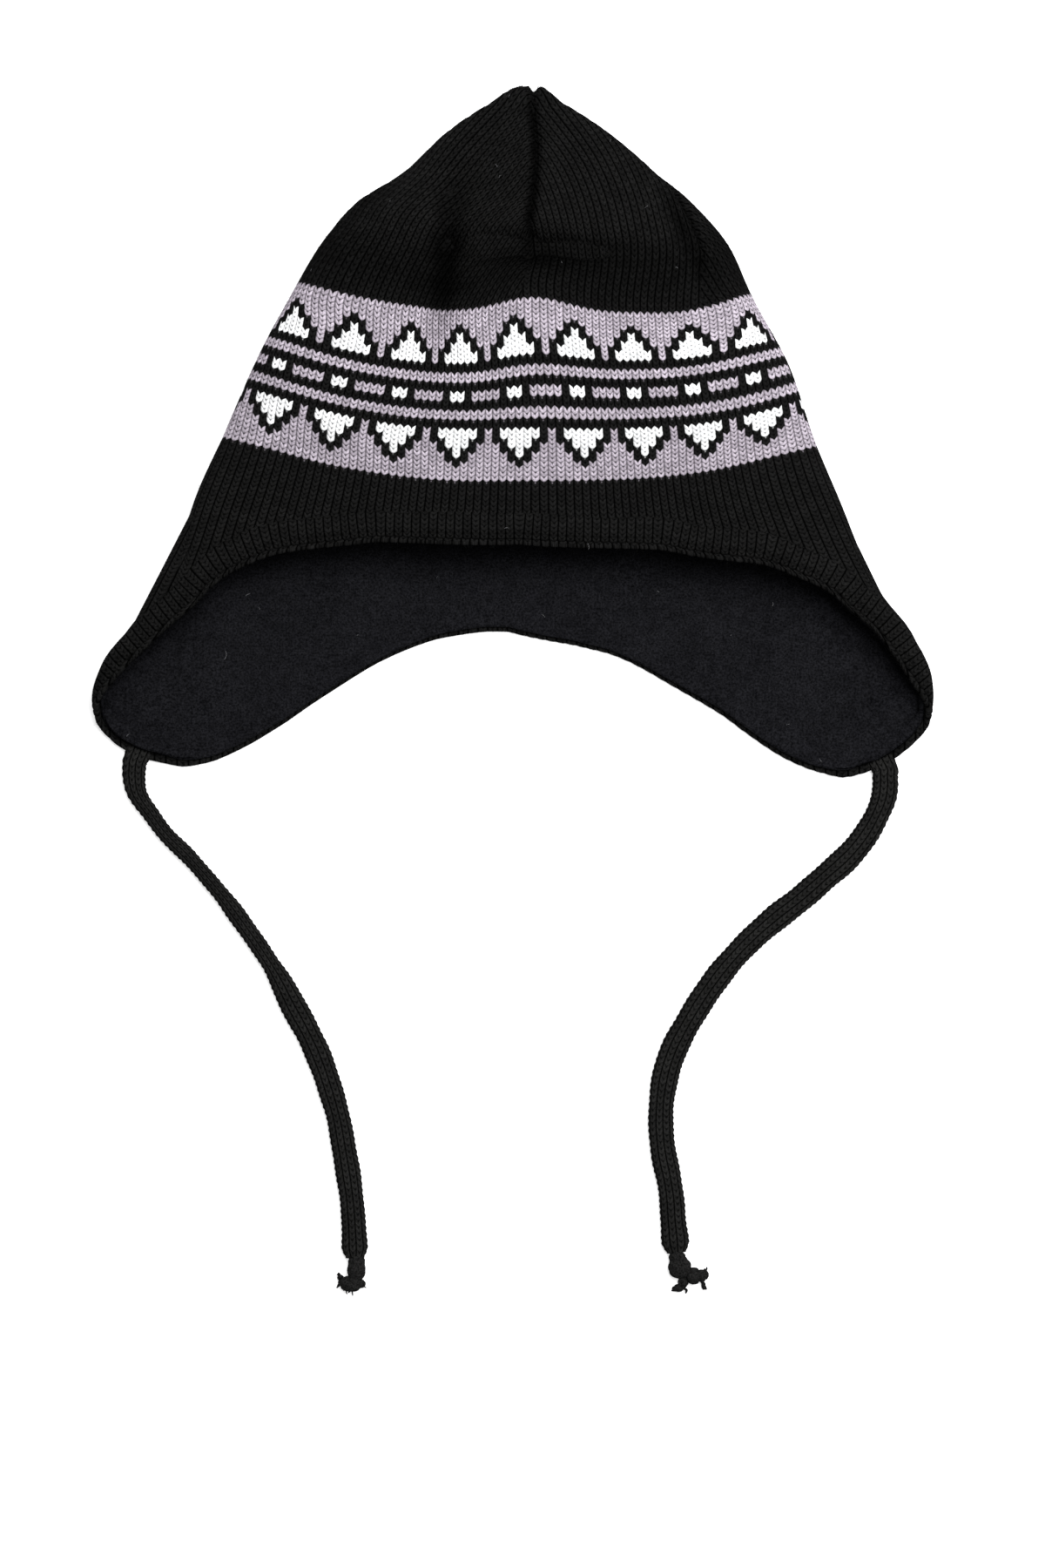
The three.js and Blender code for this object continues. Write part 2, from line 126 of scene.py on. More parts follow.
# The rim's row by the turn away from the front middle, on the left and on the right side. The
# rows from 136 degrees on weren't chosen by hand: a fitting script solved for them, from the
# lower edge of the hat in the photograph.
RIM = (
    (0, 91, 91), (36, 92.6, 93.4), (46, 94.5, 95.8), (55, 96.5, 98), (62, 98.5, 99.7),
    (70, 102.5, 104), (77, 109, 109.5), (80, 117, 116.5), (82, 124, 124), (84, 130, 130),
    (86.5, 135, 134), (89.5, 139.8, 138), (94, 144.3, 142.2), (99, 147.2, 145.6),
    (104, 148.2, 147.6), (110, 148.2, 148.3), (116, 146.5, 146.4), (122.5, 142.9, 143),
    (132, 135.7, 135.8), (136, 131.5, 132.4), (140, 127.2, 129.4), (144, 122.8, 126.5),
    (148, 118.8, 123.5), (152, 115.6, 120.3), (156, 113.2, 117.2), (160, 111.5, 114.9),
    (164, 110.5, 113.5), (168, 109.7, 112.3), (172, 109.2, 111.5), (176, 109.1, 110.7),
    (180, 109.9, 109.9),
)

# Dents and bulges of the front: x (share of half HAT_WIDTH), drop (share of HAT_LENGTH), angle
# of the long axis in degrees, half length and half width (shares of HAT_WIDTH), and depth
# (share of HAT_HEIGHT, below 0 for a dent)
DENTS = (
    (0.06, 0.249, -3, 0.078, 0.0136, -0.22),
    (-0.16, 0.267, 84, 0.058, 0.0115, -0.16),
    (-0.105, 0.14, 64, 0.055, 0.017, -0.1),
    (0.4, 0.212, -67, 0.052, 0.0094, -0.15),
    (-0.345, 0.17, -140, 0.037, 0.0094, -0.1),
    (0.03, 0.215, 0, 0.07, 0.016, 0.06),
    (0.06, 0.14, 0, 0.09, 0.045, 0.09),
    (-0.175, 0.308, 0, 0.03, 0.015, -0.05),
)

# The four crown seams: turn near the tip and at the lower end, in degrees, and the rows between
# which they change over; then where in the gore after each seam its wales run straight, as a
# share of the way to the next seam
SEAMS = ((12, 2.6), (94, 62), (180, 180), (266, 273))
SEAM_ROWS = ((2, 24), (14, 42), (14, 34), (14, 34))
STRAIGHT_WALES = (0.5, 0.45, 0.5, 0.34)

# How the knitted fabric lies on the hat's front: by how many rows it hangs lower, and by how
# many degrees it is turned, at nine places round the front, for some of its knitted rows. The
# shifts come from a fitting script, which solved for them from the motifs' places in the
# photograph, with neighbouring rows merged by hand.
SHIFT_TURNS = (-76, -57, -38, -19, 0, 19, 38, 57, 76)
SHIFT_FADE_TURN = 108
ROWS_LOWER = (
    (18, (0, 0, 0, 0, 0, 0, 0, 0, 0)),
    (43, (0.6, 1.7, 2.1, 2.1, 1.4, 1.7, 2.4, 3, 1.2)),
    (50, (0.9, 2.3, 2.3, 1.7, 0.8, 0.7, 1.2, 2, 1)),
    (60, (1.5, 2.2, 2.2, 1.7, 0.5, 0.1, 0.9, 1.5, 1.3)),
    (67, (0.9, 1.6, 1.8, 1.3, 0.8, 0.9, 1.4, 2.1, 1.8)),
    (76, (0, 0.8, 1, 0.8, 0.2, 0.4, 0.9, 1.2, 0.6)),
    (92, (0, 0, 0, 0, 0, 0, 0, 0, 0)),
)
TURNED = (
    (30, (0, 0, 0, 0, 0, 0, 0, 0, 0)),
    (43, (-6, -1, 0, -3, -3.7, -1.8, -1.8, -1, 3.5)),
    (50, (-2, 1.2, 1, -1.8, -3.2, -2.3, -2.8, -2.6, 0.8)),
    (60, (0, 1.4, 1.1, -0.4, -2, -1.5, -3.1, -3.8, -3)),
    (70, (1.3, 1.2, 0.7, 0, -0.6, -0.6, -1.8, -3.1, -3.8)),
    (79, (3, 2.6, 2, 0.8, -0.2, -0.1, -2, -3.8, -4.5)),
    (120, (0, 0, 0, 0, 0, 0, 0, 0, 0)),
)

# Ties: turn at which each leaves the rim, and its middle line as steps in X and Y from there
TIES = {
    "left": {
        "turn": 258,
        "route": (
            (-1.3, -4.9), (-1.4, -9.2), (-0.5, -14.8), (1.6, -19), (4.8, -23.4), (11.6, -32.6),
            (21.1, -42), (28.7, -50.6), (36.5, -60), (44.4, -70.8), (51.2, -80.5), (58, -91.3),
            (64.1, -103.2), (70, -114), (75, -124.8), (79.2, -136.7), (83, -150), (85.2, -162.2),
            (87.2, -174.1), (88.7, -186), (89.5, -198.2), (89.8, -207.6),
        ),
    },
    "right": {
        "turn": 103,
        "route": (
            (1, -4.4), (1.1, -7.8), (0.4, -13.8), (-2.4, -21), (-7.2, -29.4), (-14, -37.8),
            (-24, -46.8), (-33.6, -55.2), (-44.4, -63.6), (-54, -72), (-63.6, -82.2),
            (-71.4, -92.4), (-78, -102.6), (-85.3, -115.8), (-88.7, -124.8), (-90.6, -133.8),
            (-91.5, -142.8), (-91.4, -151.8), (-90.4, -160.8), (-88.5, -169.8), (-87.1, -178.8),
            (-86.5, -187.8), (-85.6, -196.8), (-85.1, -201.5),
        ),
    },
}


def curve_through(places, values):
    """A smooth curve through the points that never overshoots them."""
    x, y = np.array(places, float), np.array(values, float)
    step, slope = np.diff(x), np.diff(y) / np.diff(x)
    before, after = 2 * step[1:] + step[:-1], step[1:] + 2 * step[:-1]
    same = slope[:-1] * slope[1:] > 0
    safe = np.where(same, slope[:-1], 1), np.where(same, slope[1:], 1)
    inner = np.where(same, (before + after) / (before / safe[0] + after / safe[1]), 0)
    tangent = np.concatenate([slope[:1], inner, slope[-1:]])

    def value(place):
        at = np.clip(place, x[0], x[-1])
        i = np.clip(np.searchsorted(x, at, side="left") - 1, 0, len(step) - 1)
        t = (at - x[i]) / step[i]
        rest = 1 - t
        ends = y[i] * (1 + 2 * t) * rest ** 2 + y[i + 1] * t ** 2 * (3 - 2 * t)
        return ends + step[i] * t * rest * (tangent[i] * rest - tangent[i + 1] * t)

    return value


course = {
    name: curve_through([c[0] for c in COURSES], [c[i] for c in COURSES])
    for i, name in enumerate(COURSE_NAMES) if i
}
rim_left = curve_through([r[0] for r in RIM], [r[1] for r in RIM])
rim_right = curve_through([r[0] for r in RIM], [r[2] for r in RIM])


def smoothstep(value, low, high):
    t = np.clip((value - low) / (high - low), 0, 1)
    return t * t * (3 - 2 * t)


def rim_row(turn):
    turn = np.mod(turn, 360)
    return np.where(turn <= 180, rim_right(turn), rim_left(360 - turn))


def quarter_points(share, half_width, rise, squareness):
    """Points of a quarter of a course loop at shares of its length from its middle (0) to its
    fold (1), as shares of its half width and of its rise."""
    samples = 40
    angle = np.linspace(0, np.pi / 2, samples + 1)[None]
    power = 2 / squareness[:, None]
    across = np.sin(angle) ** power
    up = np.maximum(np.cos(angle), 0) ** power
    piece = np.hypot(half_width[:, None] * np.diff(across), rise[:, None] * np.diff(up))
    lengths = np.concatenate([np.zeros((len(share), 1)), np.cumsum(piece, 1)], 1)
    goal = share * lengths[:, -1]
    i = np.clip((lengths < goal[:, None]).sum(1), 1, samples)
    at = np.arange(len(share))
    low, high = lengths[at, i - 1], lengths[at, i]
    part = (goal - low) / np.maximum(high - low, 1e-12)
    here, before = (at, i), (at, i - 1)
    return tuple(line[before] + (line[here] - line[before]) * part for line in (across, up))


def dent_heights(x, y):
    height = np.zeros_like(x)
    for place, drop, angle, long, wide, deep in DENTS:
        c, s = math.cos(math.radians(angle)), math.sin(math.radians(angle))
        dx, dy = x - place * HAT_WIDTH / 2, y - (0.5 - drop) * HAT_LENGTH
        along, beside = (dx * c + dy * s) / long, (dy * c - dx * s) / wide
        height += deep * HAT_HEIGHT * np.exp(-(along ** 2 + beside ** 2) / HAT_WIDTH ** 2 / 2)
    return height


def face_points(row, turn):
    """Points of the hat's outer face before seams, hem and stitches."""
    row, turn = np.broadcast_arrays(np.asarray(row, float), np.mod(turn, 360))
    shape = row.shape
    row, turn = row.ravel(), turn.ravel()
    value = {name: curve(row) for name, curve in course.items()}
    side = np.where(turn <= 180, 1, -1)
    away = np.where(turn <= 180, turn, 360 - turn)
    front = away <= 90
    left, right = value["left"] * HAT_WIDTH / 2, value["right"] * HAT_WIDTH / 2
    half_width = np.maximum((right - left) / 2, 1e-9)
    fold = value["fold"] * HAT_HEIGHT
    rise = np.where(front, value["top"] * HAT_HEIGHT - fold, fold + FLOOR_PRESS)
    share = np.where(front, away, 180 - away) / 90
    squareness = np.where(front, float(FRONT_SQUARENESS), float(BACK_SQUARENESS))
    quarter, up = quarter_points(share, half_width, rise, squareness)
    across = side * quarter
    x = (left + right) / 2 + half_width * across
    ends = value["left_drop"] * (1 - across) / 2 + value["right_drop"] * (1 + across) / 2
    wave = value["wave"] * np.exp(-(((2 * x / HAT_WIDTH - WAVE_PLACE) / WAVE_REACH) ** 2))
    y = (0.5 - ends - value["sag"] * (1 - across ** 2) + np.where(front, wave, 0)) * HAT_LENGTH
    dents = dent_heights(x, y) * np.minimum(1, row / 6) * up
    z = np.where(front, fold + rise * up + dents, np.maximum(0, fold - rise * up))
    return np.stack([x, y, z], -1).reshape(*shape, 3)


def shifts(table, row, turn):
    """The shift of a knitted row and turn, from one of the fabric's shift tables."""
    rows = [line[0] for line in table]
    turn = np.mod(turn + 180, 360) - 180
    places = np.array((-SHIFT_FADE_TURN,) + SHIFT_TURNS + (SHIFT_FADE_TURN,), float)
    by_row = [curve_through(rows, [0.0] * len(rows))(row)]
    by_row += [curve_through(rows, [line[1][i] for line in table])(row) for i in range(len(SHIFT_TURNS))]
    by_row.append(by_row[0])
    values = np.stack(by_row, -1)
    at = np.clip(np.searchsorted(places, turn) - 1, 0, len(places) - 2)
    share = np.clip((turn - places[at]) / (places[at + 1] - places[at]), 0, 1)
    nodes = [np.clip(at + k, 0, len(places) - 1) for k in (-1, 0, 1, 2)]
    a, b, c, d = [np.take_along_axis(values, node[..., None], -1)[..., 0] for node in nodes]
    slopes = (c - a) / 2, (d - b) / 2
    inside = (b * (1 + 2 * share) * (1 - share) ** 2 + c * share ** 2 * (3 - 2 * share)
              + slopes[0] * share * (1 - share) ** 2 - slopes[1] * share ** 2 * (1 - share))
    return np.where(np.abs(turn) < SHIFT_FADE_TURN, inside, 0)


def lay(row, turn):
    """Where a knitted row and turn lie on the hat, as a row and a turn of its course loops."""
    row, turn = np.broadcast_arrays(np.asarray(row, float), np.asarray(turn, float))
    to_rim = np.clip((rim_row(turn) - row) / 4, 0, 1)
    lower = shifts(ROWS_LOWER, row, turn) * to_rim
    return row + lower, turn + shifts(TURNED, row, turn) * to_rim


def face_frames(row, turn):
    """Unit directions out of the face and down along its wales."""
    down = face_points(row + 0.4, turn) - face_points(np.maximum(row - 0.4, 0.2), turn)
    around = face_points(row, turn + 1.5) - face_points(row, turn - 1.5)
    out = np.cross(down, around)
    out /= np.maximum(np.linalg.norm(out, axis=-1, keepdims=True), 1e-12)
    down /= np.maximum(np.linalg.norm(down, axis=-1, keepdims=True), 1e-12)
    return out, down


def seam_turns(row):
    along = [smoothstep(row, *rows) for rows in SEAM_ROWS]
    return [tip + (end - tip) * share for (tip, end), share in zip(SEAMS, along)]


def seam_depths(row, turn):
    """How deep the nearest crown seam pulls the face in."""
    half_width = (course["right"](row) - course["left"](row)) * HAT_WIDTH / 4
    fade = np.clip(np.minimum((LAST_CROWN_ROW - 4 - row), row + 1) / SEAM_FADE_ROWS, 0, 1)
    depth = np.zeros_like(row)
    for seam in seam_turns(row):
        turned = np.abs((turn - seam + 540) % 360 - 180)
        depth += np.exp(-((turned / 90 * half_width / SEAM_REACH) ** 2))
    return SEAM_DEPTH * fade * depth


def notch_tip(points):
    """Pulls the outline in between the two lobes at the crown's tip."""
    x, y = points[..., 0] - TIP_NOTCH_X, points[..., 1] - HAT_LENGTH / 2
    points[..., 1] -= TIP_NOTCH * np.exp(-((x / (1.5 * MM)) ** 2) - (y / (5 * MM)) ** 2)
    lobes = np.exp(-(((np.abs(x) - 4 * MM) / (2.6 * MM)) ** 2) - (y / (4 * MM)) ** 2)
    points[..., 1] += 0.5 * MM * lobes


def fold_shade(rows, turns, points):
    """How much light reaches the yarn's depth, painted into its colour as shade: less in seams, in
    dents and along the foot of the crown, 1 where it is open.
    """
    seam = seam_depths(rows, turns) / SEAM_DEPTH
    dent = np.clip(-dent_heights(points[..., 0], points[..., 1]) / (0.2 * HAT_HEIGHT), 0, 1)
    front = np.clip(points[..., 2] / (0.35 * HAT_HEIGHT), 0, 1)
    # painted shade along the foot of the crown
    crown_foot = np.exp(-(((rows - 37) / 5) ** 2))
    seam *= smoothstep(-rows, -36, -24)
    return (1 - 0.75 * seam) * (1 - 0.75 * dent * front) * (1 - 0.4 * crown_foot * front)


def hem_heights(distance):
    """How far the turned hem stands out, by the distance from the rim."""
    share = distance / HEM_WIDTH
    roll = np.sqrt(np.maximum(0, 1 - (2 * share - 1) ** 2)) * (share < 1)
    return HEM_BULGE * roll - HEM_GROOVE * np.exp(-(((share - 1) / 0.13) ** 2))


def seam_ends():
    """The seams' turns at their lower end, once round."""
    return [float(end) for _, end in SEAMS] + [SEAMS[0][1] + 360.0]


def wales(row, turn, gore):
    """The wale's number at a place: each gore's wales keep their width and end in its seams."""
    seams = seam_turns(row)
    seams.append(seams[0] + 360)
    ends = seam_ends()
    start, stop = seams[gore], seams[gore + 1]
    width = (course["right"](row) - course["left"](row)) * (stop - start)
    full = float(course["right"](LAST_CROWN_ROW) - course["left"](LAST_CROWN_ROW))
    full *= ends[gore + 1] - ends[gore]
    count = (ends[gore + 1] - ends[gore]) / STITCH_TURN
    count = np.where(row < LAST_CROWN_ROW, count * width / full, count)
    straight = ends[gore] + (ends[gore + 1] - ends[gore]) * STRAIGHT_WALES[gore]
    return straight / STITCH_TURN + 0.5 + ((turn - start) / (stop - start) - STRAIGHT_WALES[gore]) * count


def wale_ridge(wale):
    """Height of a wale's rounded ridge, from 0 in the groove beside it to 1."""
    side = np.abs(2 * np.mod(wale, 1) - 1)
    return (1 - side ** 2.5) * (1 - 0.25 * (1 - side) ** 4)


def link(obj):
    bpy.context.scene.collection.objects.link(obj)
    return obj


def new_mesh(name, points, faces, uv=None):
    """A mesh object of quads and triangles with smooth shading and a uv for each corner."""
    mesh = bpy.data.meshes.new(name)
    mesh.from_pydata(points.reshape(-1, 3).tolist(), [], faces)
    mesh.polygons.foreach_set("use_smooth", [True] * len(mesh.polygons))
    if uv is not None:
        layer = mesh.uv_layers.new(name="stitches")
        layer.data.foreach_set("uv", np.ascontiguousarray(uv, np.float32).ravel())
    mesh.update()
    return link(bpy.data.objects.new(name, mesh))


def lathe_faces(lines, columns):
    """Faces of a closed skin: a first point, lines of columns points each, and a last point."""
    at = lambda i, j: 1 + i * columns + j % columns
    last = 1 + lines * columns
    faces = [(0, at(0, j), at(0, j + 1)) for j in range(columns)]
    for i in range(lines - 1):
        faces += [(at(i, j), at(i + 1, j), at(i + 1, j + 1), at(i, j + 1)) for j in range(columns)]
    faces += [(last, at(lines - 1, j + 1), at(lines - 1, j)) for j in range(columns)]
    return faces


def lathe_uv(a, b):
    """Corner uv of a closed skin's faces, from the uv at both edges of each of its columns."""
    first = np.stack([(a[0] + b[0]) / 2, a[0], b[0]], 1)
    quads = np.stack([a[:-1], a[1:], b[1:], b[:-1]], 2)
    end = np.stack([(a[-1] + b[-1]) / 2, b[-1], a[-1]], 1)
    return np.concatenate([first.reshape(-1, 2), quads.reshape(-1, 2), end.reshape(-1, 2)])


def gore_columns(fine, coarse, fine_to):
    """Turns of the columns at the lower end of the crown, with one on each seam, and the gore
    that lies after each: fine steps up to fine_to degrees from the front middle."""
    turns, gores = [], []
    ends = seam_ends()
    for gore in range(len(SEAMS)):
        turn = ends[gore]
        while turn < ends[gore + 1] - 1e-6:
            turns.append(turn)
            gores.append(gore)
            step = fine if min(turn, 360 - turn) < fine_to else coarse
            turn += step
            if ends[gore + 1] - turn < step * 0.5:
                turn = ends[gore + 1]
    return np.array(turns), np.array(gores)


def seam_following(row, turns):
    """Turns of the columns at a row: they follow the seams round."""
    shift = [float(now - end) for now, (_, end) in zip(seam_turns(np.float64(row)), SEAMS)]
    return turns + np.interp(turns, seam_ends(), shift + [shift[0]])


class Wall:
    """A closed wall of the hat, as lines of points from its outer tip over the rim to its
    inner tip."""

    def __init__(self, turns, gores):
        self.turns, self.gores = turns, gores
        self.lines = []

    def add_line(self, rows, inset, beyond=0.0, relief=None):
        """A line of points at those rows, so far in from the face and beyond the rim."""
        rows = np.broadcast_to(np.asarray(rows, float), self.turns.shape).copy()
        turns = seam_following(rows.mean(), self.turns) if np.ptp(rows) < 1e-9 else self.turns
        self.lines.append((rows, turns, inset, beyond, relief))

    def points(self):
        rows = np.array([line[0] for line in self.lines])
        turns = np.array([line[1] for line in self.lines])
        inset = np.array([line[2] for line in self.lines])[:, None]
        beyond = np.array([np.broadcast_to(line[3], self.turns.shape) for line in self.lines])
        laid_rows, laid_turns = lay(rows, turns)
        base = face_points(laid_rows, laid_turns)
        out, down = face_frames(laid_rows, laid_turns)
        height = -inset - seam_depths(rows, turns)
        for i, line in enumerate(self.lines):
            if line[4] is not None:
                height[i] += line[4](rows[i], turns[i], self.gores)
        points = base + out * height[..., None] + down * beyond[..., None]
        points[..., 2] = np.maximum(points[..., 2], np.minimum(inset, 0.02))
        notch_tip(points)
        return rows, turns, points

    def build(self, name, shadow=None):
        rows, turns, points = self.points()
        tips = [face_points(0.0, 0.0) - np.array([0, self.lines[k][2], 0]) for k in (0, -1)]
        columns = len(self.turns)
        every = np.concatenate([tips[0][None], points.reshape(-1, 3), tips[1][None]])
        faces = lathe_faces(len(self.lines), columns)
        wall = new_mesh(name, every, faces, self.corner_uv(rows, turns))
        # painted shade in seams, dents and at the crown's foot, stored on the mesh for the colour
        shade = fold_shade(rows, turns, points).ravel()
        if shadow is not None:
            shade = shade * shadow(points.reshape(-1, 3))
        layer = wall.data.attributes.new("painted_shade", "FLOAT", "POINT")
        layer.data.foreach_set("value", np.concatenate([[0.8], shade, [0.8]]).astype(np.float32))
        return wall

    def corner_uv(self, rows, turns):
        """Wale and row of every face corner, taken inside that face's own gore."""
        columns = len(self.turns)
        here, beyond_edge = np.zeros(turns.shape), np.zeros(turns.shape)
        next_turns = np.concatenate([turns[:, 1:], turns[:, :1] + 360], 1)
        next_rows = np.roll(rows, -1, 1)
        for gore in range(len(SEAMS)):
            own = self.gores == gore
            here[:, own] = wales(rows[:, own], turns[:, own], gore)
            beyond_edge[:, own] = wales(next_rows[:, own], next_turns[:, own], gore)
        a = np.stack([here, -rows], -1)
        b = np.stack([beyond_edge, -next_rows], -1)
        return lathe_uv(a, b)


def skirt_rows(turns, share, hem_share=None):
    """Rows below the band: a share of the way to the hem, or a share of the way down the hem."""
    rim = rim_row(turns)
    hem = HEM_WIDTH / ROW_LENGTH
    if hem_share is None:
        return LAST_BAND_ROW + share * (rim - hem - LAST_BAND_ROW)
    return rim - hem * (1 - hem_share)


def knit_relief(rows, turns, gores):
    """Wales and hem of the knitted face."""
    ridge = np.zeros_like(rows)
    for gore in range(len(SEAMS)):
        own = gores == gore
        ridge[own] = wale_ridge(wales(rows[own], turns[own], gore))
    near_tip = np.clip(rows / 5, 0, 1)
    in_band = smoothstep(rows, LAST_CROWN_ROW - 2, LAST_CROWN_ROW + 3)
    in_band *= 1 - smoothstep(rows, LAST_BAND_ROW - 1, LAST_BAND_ROW + 3)
    stronger = 1.9 - 0.9 * in_band
    distance = (rim_row(turns) - rows) * ROW_LENGTH
    at_back = smoothstep(np.abs(np.mod(turns + 180, 360) - 180), HEM_BAND_TO - 6, HEM_BAND_TO)
    hem = np.where(rows > LAST_BAND_ROW, hem_heights(distance), 0) * at_back
    stronger *= 1 - 0.8 * smoothstep(-distance, -2.5 * MM, -1 * MM) * (1 - at_back)
    return WALE_RIDGE * (ridge - 0.6) * near_tip * stronger + hem


def build_knit_shell():
    turns, gores = gore_columns(STITCH_TURN / 5, STITCH_TURN / 3, 98)
    wall = Wall(turns, gores)
    for row in [0.5, 1, 1.5] + list(range(2, LAST_BAND_ROW + 1)):
        wall.add_line(row, 0, relief=knit_relief)
    for share in np.linspace(0, 1, 22)[1:]:
        wall.add_line(skirt_rows(turns, share), 0, relief=knit_relief)
    for share in np.linspace(0, 1, 8)[1:]:
        wall.add_line(skirt_rows(turns, 0, share), 0, relief=knit_relief)
    scallop = 0.4 * MM * (wale_ridge(turns / STITCH_TURN + 0.5) - 0.6)
    for angle in np.radians([35, 70, 110, 145]):
        wall.add_line(rim_row(turns), KNIT_WALL / 2 * (1 - math.cos(angle)),
                      (KNIT_WALL / 2 + scallop) * math.sin(angle), knit_relief if angle < 1 else None)
    for share in (1, 0.7, 0.35, 0):
        wall.add_line(skirt_rows(turns, 0, share), KNIT_WALL)
    for row in (LAST_BAND_ROW, 67, 55, LAST_CROWN_ROW, 34, 25, 15, 8):
        wall.add_line(row, KNIT_WALL)
    return wall.build("knit_shell_looks")


def walk_in(row, turn, inward, step):
    """The row and turn one step further along a direction over the face."""
    here = face_points(row, turn)
    by_row = (face_points(row + 0.2, turn) - here) / 0.2
    by_turn = (face_points(row, turn + 0.2) - here) / 0.2
    a, b = (by_row * by_row).sum(-1), (by_row * by_turn).sum(-1)
    c = (by_turn * by_turn).sum(-1)
    u, v = (by_row * inward).sum(-1) * step, (by_turn * inward).sum(-1) * step
    size = np.maximum(a * c - b * b, 1e-16)
    return row + (c * u - b * v) / size, turn + (a * v - b * u) / size


def hem_columns():
    """Turns of the hem band's columns, evenly spaced along the rim, and their length along it."""
    dense = np.linspace(-HEM_BAND_TO, HEM_BAND_TO, 3000)
    line = face_points(rim_row(dense), dense)
    run = np.concatenate([[0], np.cumsum(np.linalg.norm(np.diff(line, axis=0), axis=1))])
    run -= np.interp(0, dense, run)
    count = int((run[-1] - run[0]) / HEM_STITCH * 6)
    along = np.linspace(run[0], run[-1], count)
    return np.interp(along, run, dense), along


def hem_profile(distance, start, end):
    """Height of the hem band over the face: a flat roll with a crease near its upper edge."""
    share = (distance - start) / (end - start)
    roll = np.maximum(0, 1 - np.abs(2 * share - 1) ** 2.6) ** 0.8
    crease = np.exp(-(((distance - 3.4 * MM) / (0.8 * MM)) ** 2))
    return 1.5 * MM * roll - 0.35 * MM * crease


def build_hem_band():
    """The turned hem as a band of its own ribs round the front rim and the flaps' edges."""
    turns, along = hem_columns()
    rows = rim_row(turns).astype(float)
    rim = face_points(rows, turns)
    tangent = np.gradient(rim, axis=0)
    tangent /= np.linalg.norm(tangent, axis=1, keepdims=True)
    taper = smoothstep(-np.abs(turns), -HEM_BAND_TO, -HEM_BAND_TO + 8)
    wale = along / HEM_STITCH + 0.5
    ridge = wale_ridge(wale)
    end = HEM_WIDTH + 0.6 * MM * np.sin(along / (23 * MM)) * np.sin(along / (9 * MM) + 1)
    start = HEM_EDGE - 0.35 * MM * ridge
    steps = 17
    lines, distances = [], []
    where, turned = rows.copy(), turns.copy()
    gone = np.zeros_like(rows)
    for i in range(steps):
        distance = start + (end - start) * i / (steps - 1)
        out, down = face_frames(where, turned)
        inward = np.cross(out, tangent)
        inward *= -np.sign((inward * down).sum(-1, keepdims=True))
        for _ in range(2):
            where, turned = walk_in(where, turned, inward, (distance - gone) / 2)
        gone = distance
        height = hem_profile(distance, start, end) * taper
        height += 0.6 * MM * (ridge - 0.6) * taper * np.sin(np.pi * min(1, (i + 2) / 7)) ** 0.3
        if i in (0, steps - 1):
            height = -0.35 * MM * np.ones_like(height)
        height -= 0.3 * MM * (1 - taper)
        out, _ = face_frames(where, turned)
        lines.append(face_points(where, turned) + out * height[:, None])
        distances.append(distance)
    under = [line - face_frames(rows, turns)[0] * 0.5 * MM for line in (lines[-1], lines[0])]
    points = np.stack(lines + under)
    points[..., 2] = np.maximum(points[..., 2], ABOVE_FLOOR)
    distances += [distances[-1], distances[0]]
    return band_mesh("knit_hem_looks", points, wale, np.array(distances) / ROW_LENGTH * 0.95)


def band_mesh(name, points, wale, depth):
    """A tube through lines of points, closed by one point at each end."""
    lines, columns = points.shape[:2]
    at = lambda i, j: (i % lines) * columns + j
    faces = [(at(i, j), at(i, j + 1), at(i + 1, j + 1), at(i + 1, j))
             for i in range(lines) for j in range(columns - 1)]
    a = np.stack([np.broadcast_to(wale, depth.shape), depth], -1)
    b = np.roll(a, -1, 0)
    quads = np.stack([a[:, :-1], a[:, 1:], b[:, 1:], b[:, :-1]], 2).reshape(-1, 2)
    tips = points[:, 0].mean(0), points[:, -1].mean(0)
    first, last = lines * columns, lines * columns + 1
    faces += [(first, at(i, 0), at(i + 1, 0)) for i in range(lines)]
    faces += [(last, at(i + 1, columns - 1), at(i, columns - 1)) for i in range(lines)]
    uv = np.concatenate([quads, np.tile(a[0, 0], (lines * 3, 1)), np.tile(a[0, -1], (lines * 3, 1))])
    every = np.concatenate([points.reshape(-1, 3), [tips[0]], [tips[1]]])
    band = new_mesh(name, every, faces, uv)
    layer = band.data.attributes.new("painted_shade", "FLOAT", "POINT")
    # painted shade: the band is darker along both its edges, along its underside and near the crease by
    # the rim
    light = np.ones((lines, columns))
    light[[0, -1, -2]] = 0.25
    light[[1, 4, -3]] = 0.6
    layer.data.foreach_set("value", np.concatenate([light.ravel(), [1, 1]]).astype(np.float32))
    return band


TOPSTITCH_PLACE = 10.5 * MM
TOPSTITCH_DEPTH = 0.55 * MM
FLEECE_SEAM_DEPTH = 0.7 * MM


def soft_noise(rows, turns, scale, seed):
    """Gentle seeded waves over the face."""
    rng = np.random.default_rng(seed)
    total = np.zeros_like(rows)
    for _ in range(14):
        a, b = rng.normal(0, 1, 2)
        total += np.sin(a * rows / scale + b * turns / scale * 1.1 + rng.uniform(0, 6.3))
    return total / 14 ** 0.5


